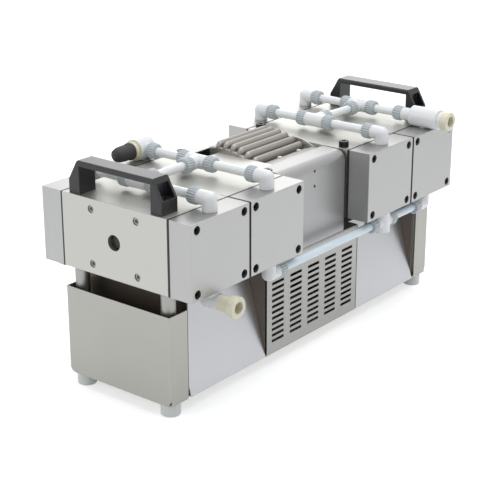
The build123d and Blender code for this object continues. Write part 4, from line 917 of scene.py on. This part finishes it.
nl.new(nut_in.outputs["Length"], n_half.inputs[1])
nl.new(n_half.outputs[0], n_end.inputs[0])
nl.new(n_end.outputs[0], n_round.inputs["Value"])
n_grip = node_at(nut_tree, "ShaderNodeMath", -240, 60, operation="MULTIPLY")
nl.new(n_square.outputs[0], n_grip.inputs[0])
nl.new(nut_in.outputs["Rib Depth"], n_grip.inputs[1])
n_less = node_at(nut_tree, "ShaderNodeMath", -80, 0, operation="ADD")
nl.new(n_grip.outputs[0], n_less.inputs[0])
nl.new(n_round.outputs[0], n_less.inputs[1])
n_keep = node_at(nut_tree, "ShaderNodeMath", 80, 0, operation="SUBTRACT")
n_keep.inputs[0].default_value = 1.0
nl.new(n_less.outputs[0], n_keep.inputs[1])
n_pull = node_at(nut_tree, "ShaderNodeCombineXYZ", 240, 0)
n_pull.inputs["Z"].default_value = 1.0
nl.new(n_keep.outputs[0], n_pull.inputs["X"])
nl.new(n_keep.outputs[0], n_pull.inputs["Y"])
n_new = node_at(nut_tree, "ShaderNodeVectorMath", 400, 0, operation="MULTIPLY")
nl.new(n_spot.outputs[0], n_new.inputs[0])
nl.new(n_pull.outputs[0], n_new.inputs[1])
n_set = node_at(nut_tree, "GeometryNodeSetPosition", 560, 200)
nl.new(n_body.outputs["Mesh"], n_set.inputs["Geometry"])
nl.new(n_new.outputs[0], n_set.inputs["Position"])
n_line = node_at(nut_tree, "GeometryNodeInputNamedAttribute", 400, -250, data_type="FLOAT_VECTOR")
n_line.inputs["Name"].default_value = "line"
n_aim = node_at(nut_tree, "FunctionNodeAlignRotationToVector", 560, -250, axis="Z")
nl.new(n_line.outputs[0], n_aim.inputs["Vector"])
n_on = node_at(nut_tree, "GeometryNodeInstanceOnPoints", 740, 0)
nl.new(nut_in.outputs["Geometry"], n_on.inputs["Points"])
nl.new(n_set.outputs[0], n_on.inputs["Instance"])
nl.new(n_aim.outputs[0], n_on.inputs["Rotation"])
n_real = node_at(nut_tree, "GeometryNodeRealizeInstances", 900, 0)
n_mat = node_at(nut_tree, "GeometryNodeSetMaterial", 1050, 0)
nl.new(n_on.outputs[0], n_real.inputs[0])
nl.new(n_real.outputs[0], n_mat.inputs["Geometry"])
nl.new(nut_in.outputs["Finish"], n_mat.inputs["Material"])
nl.new(n_mat.outputs[0], nut_out.inputs[0])


def loose_pieces(node):
    # the middle and the short direction of each separate solid in a node
    build = bmesh.new()
    build.from_mesh(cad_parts[node].data)
    bmesh.ops.remove_doubles(build, verts=build.verts, dist=0.000002)
    waiting = set(build.verts)
    found = []
    while waiting:
        stack = [waiting.pop()]
        low = Vector(stack[0].co)
        high = Vector(stack[0].co)
        while stack:
            vert = stack.pop()
            for index in range(3):
                low[index] = min(low[index], vert.co[index])
                high[index] = max(high[index], vert.co[index])
            for edge in vert.link_edges:
                other = edge.other_vert(vert)
                if other in waiting:
                    waiting.remove(other)
                    stack.append(other)
        size = high - low
        short = min(range(3), key=lambda index: size[index])
        line = Vector((0, 0, 0))
        line[short] = 1.0
        found.append(((low + high) / 2, line, size))
    build.free()
    return sorted(found, key=lambda item: tuple(round(value, 5) for value in item[0]))


nuts = loose_pieces("union_nuts")
union_nuts = made_mesh("ribbed_union_nuts", nut_tree, {
    "Radius": max(nuts[0][2]) / 2, "Length": min(nuts[0][2]), "Ribs": 20, "Rib Depth": 0.07,
    "Finish": nut_plastic},
    [(middle, line) for middle, line, size in nuts])
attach(union_nuts, "frame")
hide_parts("union_nuts")

# ---- gas tubes -----------------------------------------------------------
# Extruded fluoropolymer tube, 12 mm across, between the fittings.

tube_plastic = surface("fluoropolymer_tube", srgb(222, 236, 248), 0.0, 0.25, 600.0, (1, 1, 1), 0.01, 0.02,
                       0.0, 0.0005, 0.1, 0.00002, 0.3, 0.4)
# above z = 0.2 the tubes are coloured whiter and less blue than those below
second_colour(tube_plastic, srgb(238, 240, 242), (0, 0, 1), 0.2, 0.01)
finish_nodes(tube_plastic, "gas_tubes")

# ---- connection ports and the cap ----------------------------------------
# Cream threaded ports on the last fittings; one of them is shut by a black
# slip-on cap.

cream = srgb(228, 224, 200)
white_suction = white_fitting.copy()
white_suction.name = "white_body_cream_ring"
second_colour(white_suction, cream, (1, 0, 0), 0.1405, 0.0005)
white_capped = white_fitting.copy()
white_capped.name = "white_body_cream_collar"
second_colour(white_capped, cream, (0, -1, 0), 0.1465, 0.0005)
finish_nodes(white_suction, "suction_port")
finish_nodes(white_capped, "capped_port")
for side_name, side in (("right", 1), ("left", -1)):
    white_outlet = white_fitting.copy()
    white_outlet.name = "white_stem_cream_outlet_" + side_name
    second_colour(white_outlet, cream, (side, 0, 0), 0.1255, 0.0005)
    finish_nodes(white_outlet, "outlet_port_" + side_name)
cap_low, cap_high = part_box("port_cap")
cap_x = (cap_low[0] + cap_high[0]) / 2
cap_z = (cap_low[2] + cap_high[2]) / 2
cap_radius = (cap_high[0] - cap_low[0]) / 2
cap_mouth = cap_high[1]
# outline from the mouth's inner edge, over the lip, along the skin to the tip
cap_outline = [
    (0.0, cap_mouth - 0.0190), (0.0088, cap_mouth - 0.0190), (0.0092, cap_mouth - 0.0180),
    (0.0092, cap_mouth - 0.0006), (0.0098, cap_mouth), (cap_radius - 0.0008, cap_mouth),
    (cap_radius, cap_mouth - 0.0008), (cap_radius, cap_mouth - 0.0035),
    (cap_radius - 0.0009, cap_mouth - 0.0045), (cap_radius - 0.0011, cap_mouth - 0.016),
    (cap_radius - 0.0018, cap_mouth - 0.0235), (cap_radius - 0.0034, cap_mouth - 0.0285),
    (cap_radius - 0.0062, cap_mouth - 0.0312), (0.0, cap_mouth - 0.0318),
]
cap_build = bmesh.new()
cap_steps = 48
rings = []
for radius, y in cap_outline:
    if radius == 0.0:
        rings.append([cap_build.verts.new((cap_x, y, cap_z))])
        continue
    ring = []
    for step in range(cap_steps):
        turn = 2 * math.pi * step / cap_steps
        x = cap_x + radius * math.cos(turn)
        z = cap_z + radius * math.sin(turn)
        ring.append(cap_build.verts.new((x, y, z)))
    rings.append(ring)
for first, second in zip(rings, rings[1:]):
    for step in range(cap_steps):
        after = (step + 1) % cap_steps
        if len(first) == 1:
            cap_build.faces.new((first[0], second[step], second[after]))
        elif len(second) == 1:
            cap_build.faces.new((first[step], first[after], second[0]))
        else:
            cap_build.faces.new((first[step], first[after], second[after], second[step]))
bmesh.ops.recalc_face_normals(cap_build, faces=cap_build.faces)
for face in cap_build.faces:
    face.smooth = True
cap_mesh = bpy.data.meshes.new("slip_on_cap")
cap_build.to_mesh(cap_mesh)
cap_build.free()
cap_mesh.set_sharp_from_angle(angle=math.radians(50))
cap_mesh.materials.append(black_elastomer)
slip_cap = bpy.data.objects.new("slip_on_cap", cap_mesh)
bpy.context.collection.objects.link(slip_cap)
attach(slip_cap, "port_cap")
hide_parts("port_cap")

# ---- mains inlet and rocker switch ---------------------------------------
# Black moulded appliance inlet and switch frame on the far side's panel.

gloss_black = surface("gloss_black_moulding", srgb(30, 30, 31), 0.0, 0.25, 900.0, (1, 1, 1), 0.05,
                      0.03, 0.05)
finish_nodes(gloss_black, "power_inlet_and_switch_frame", "switch_rocker")
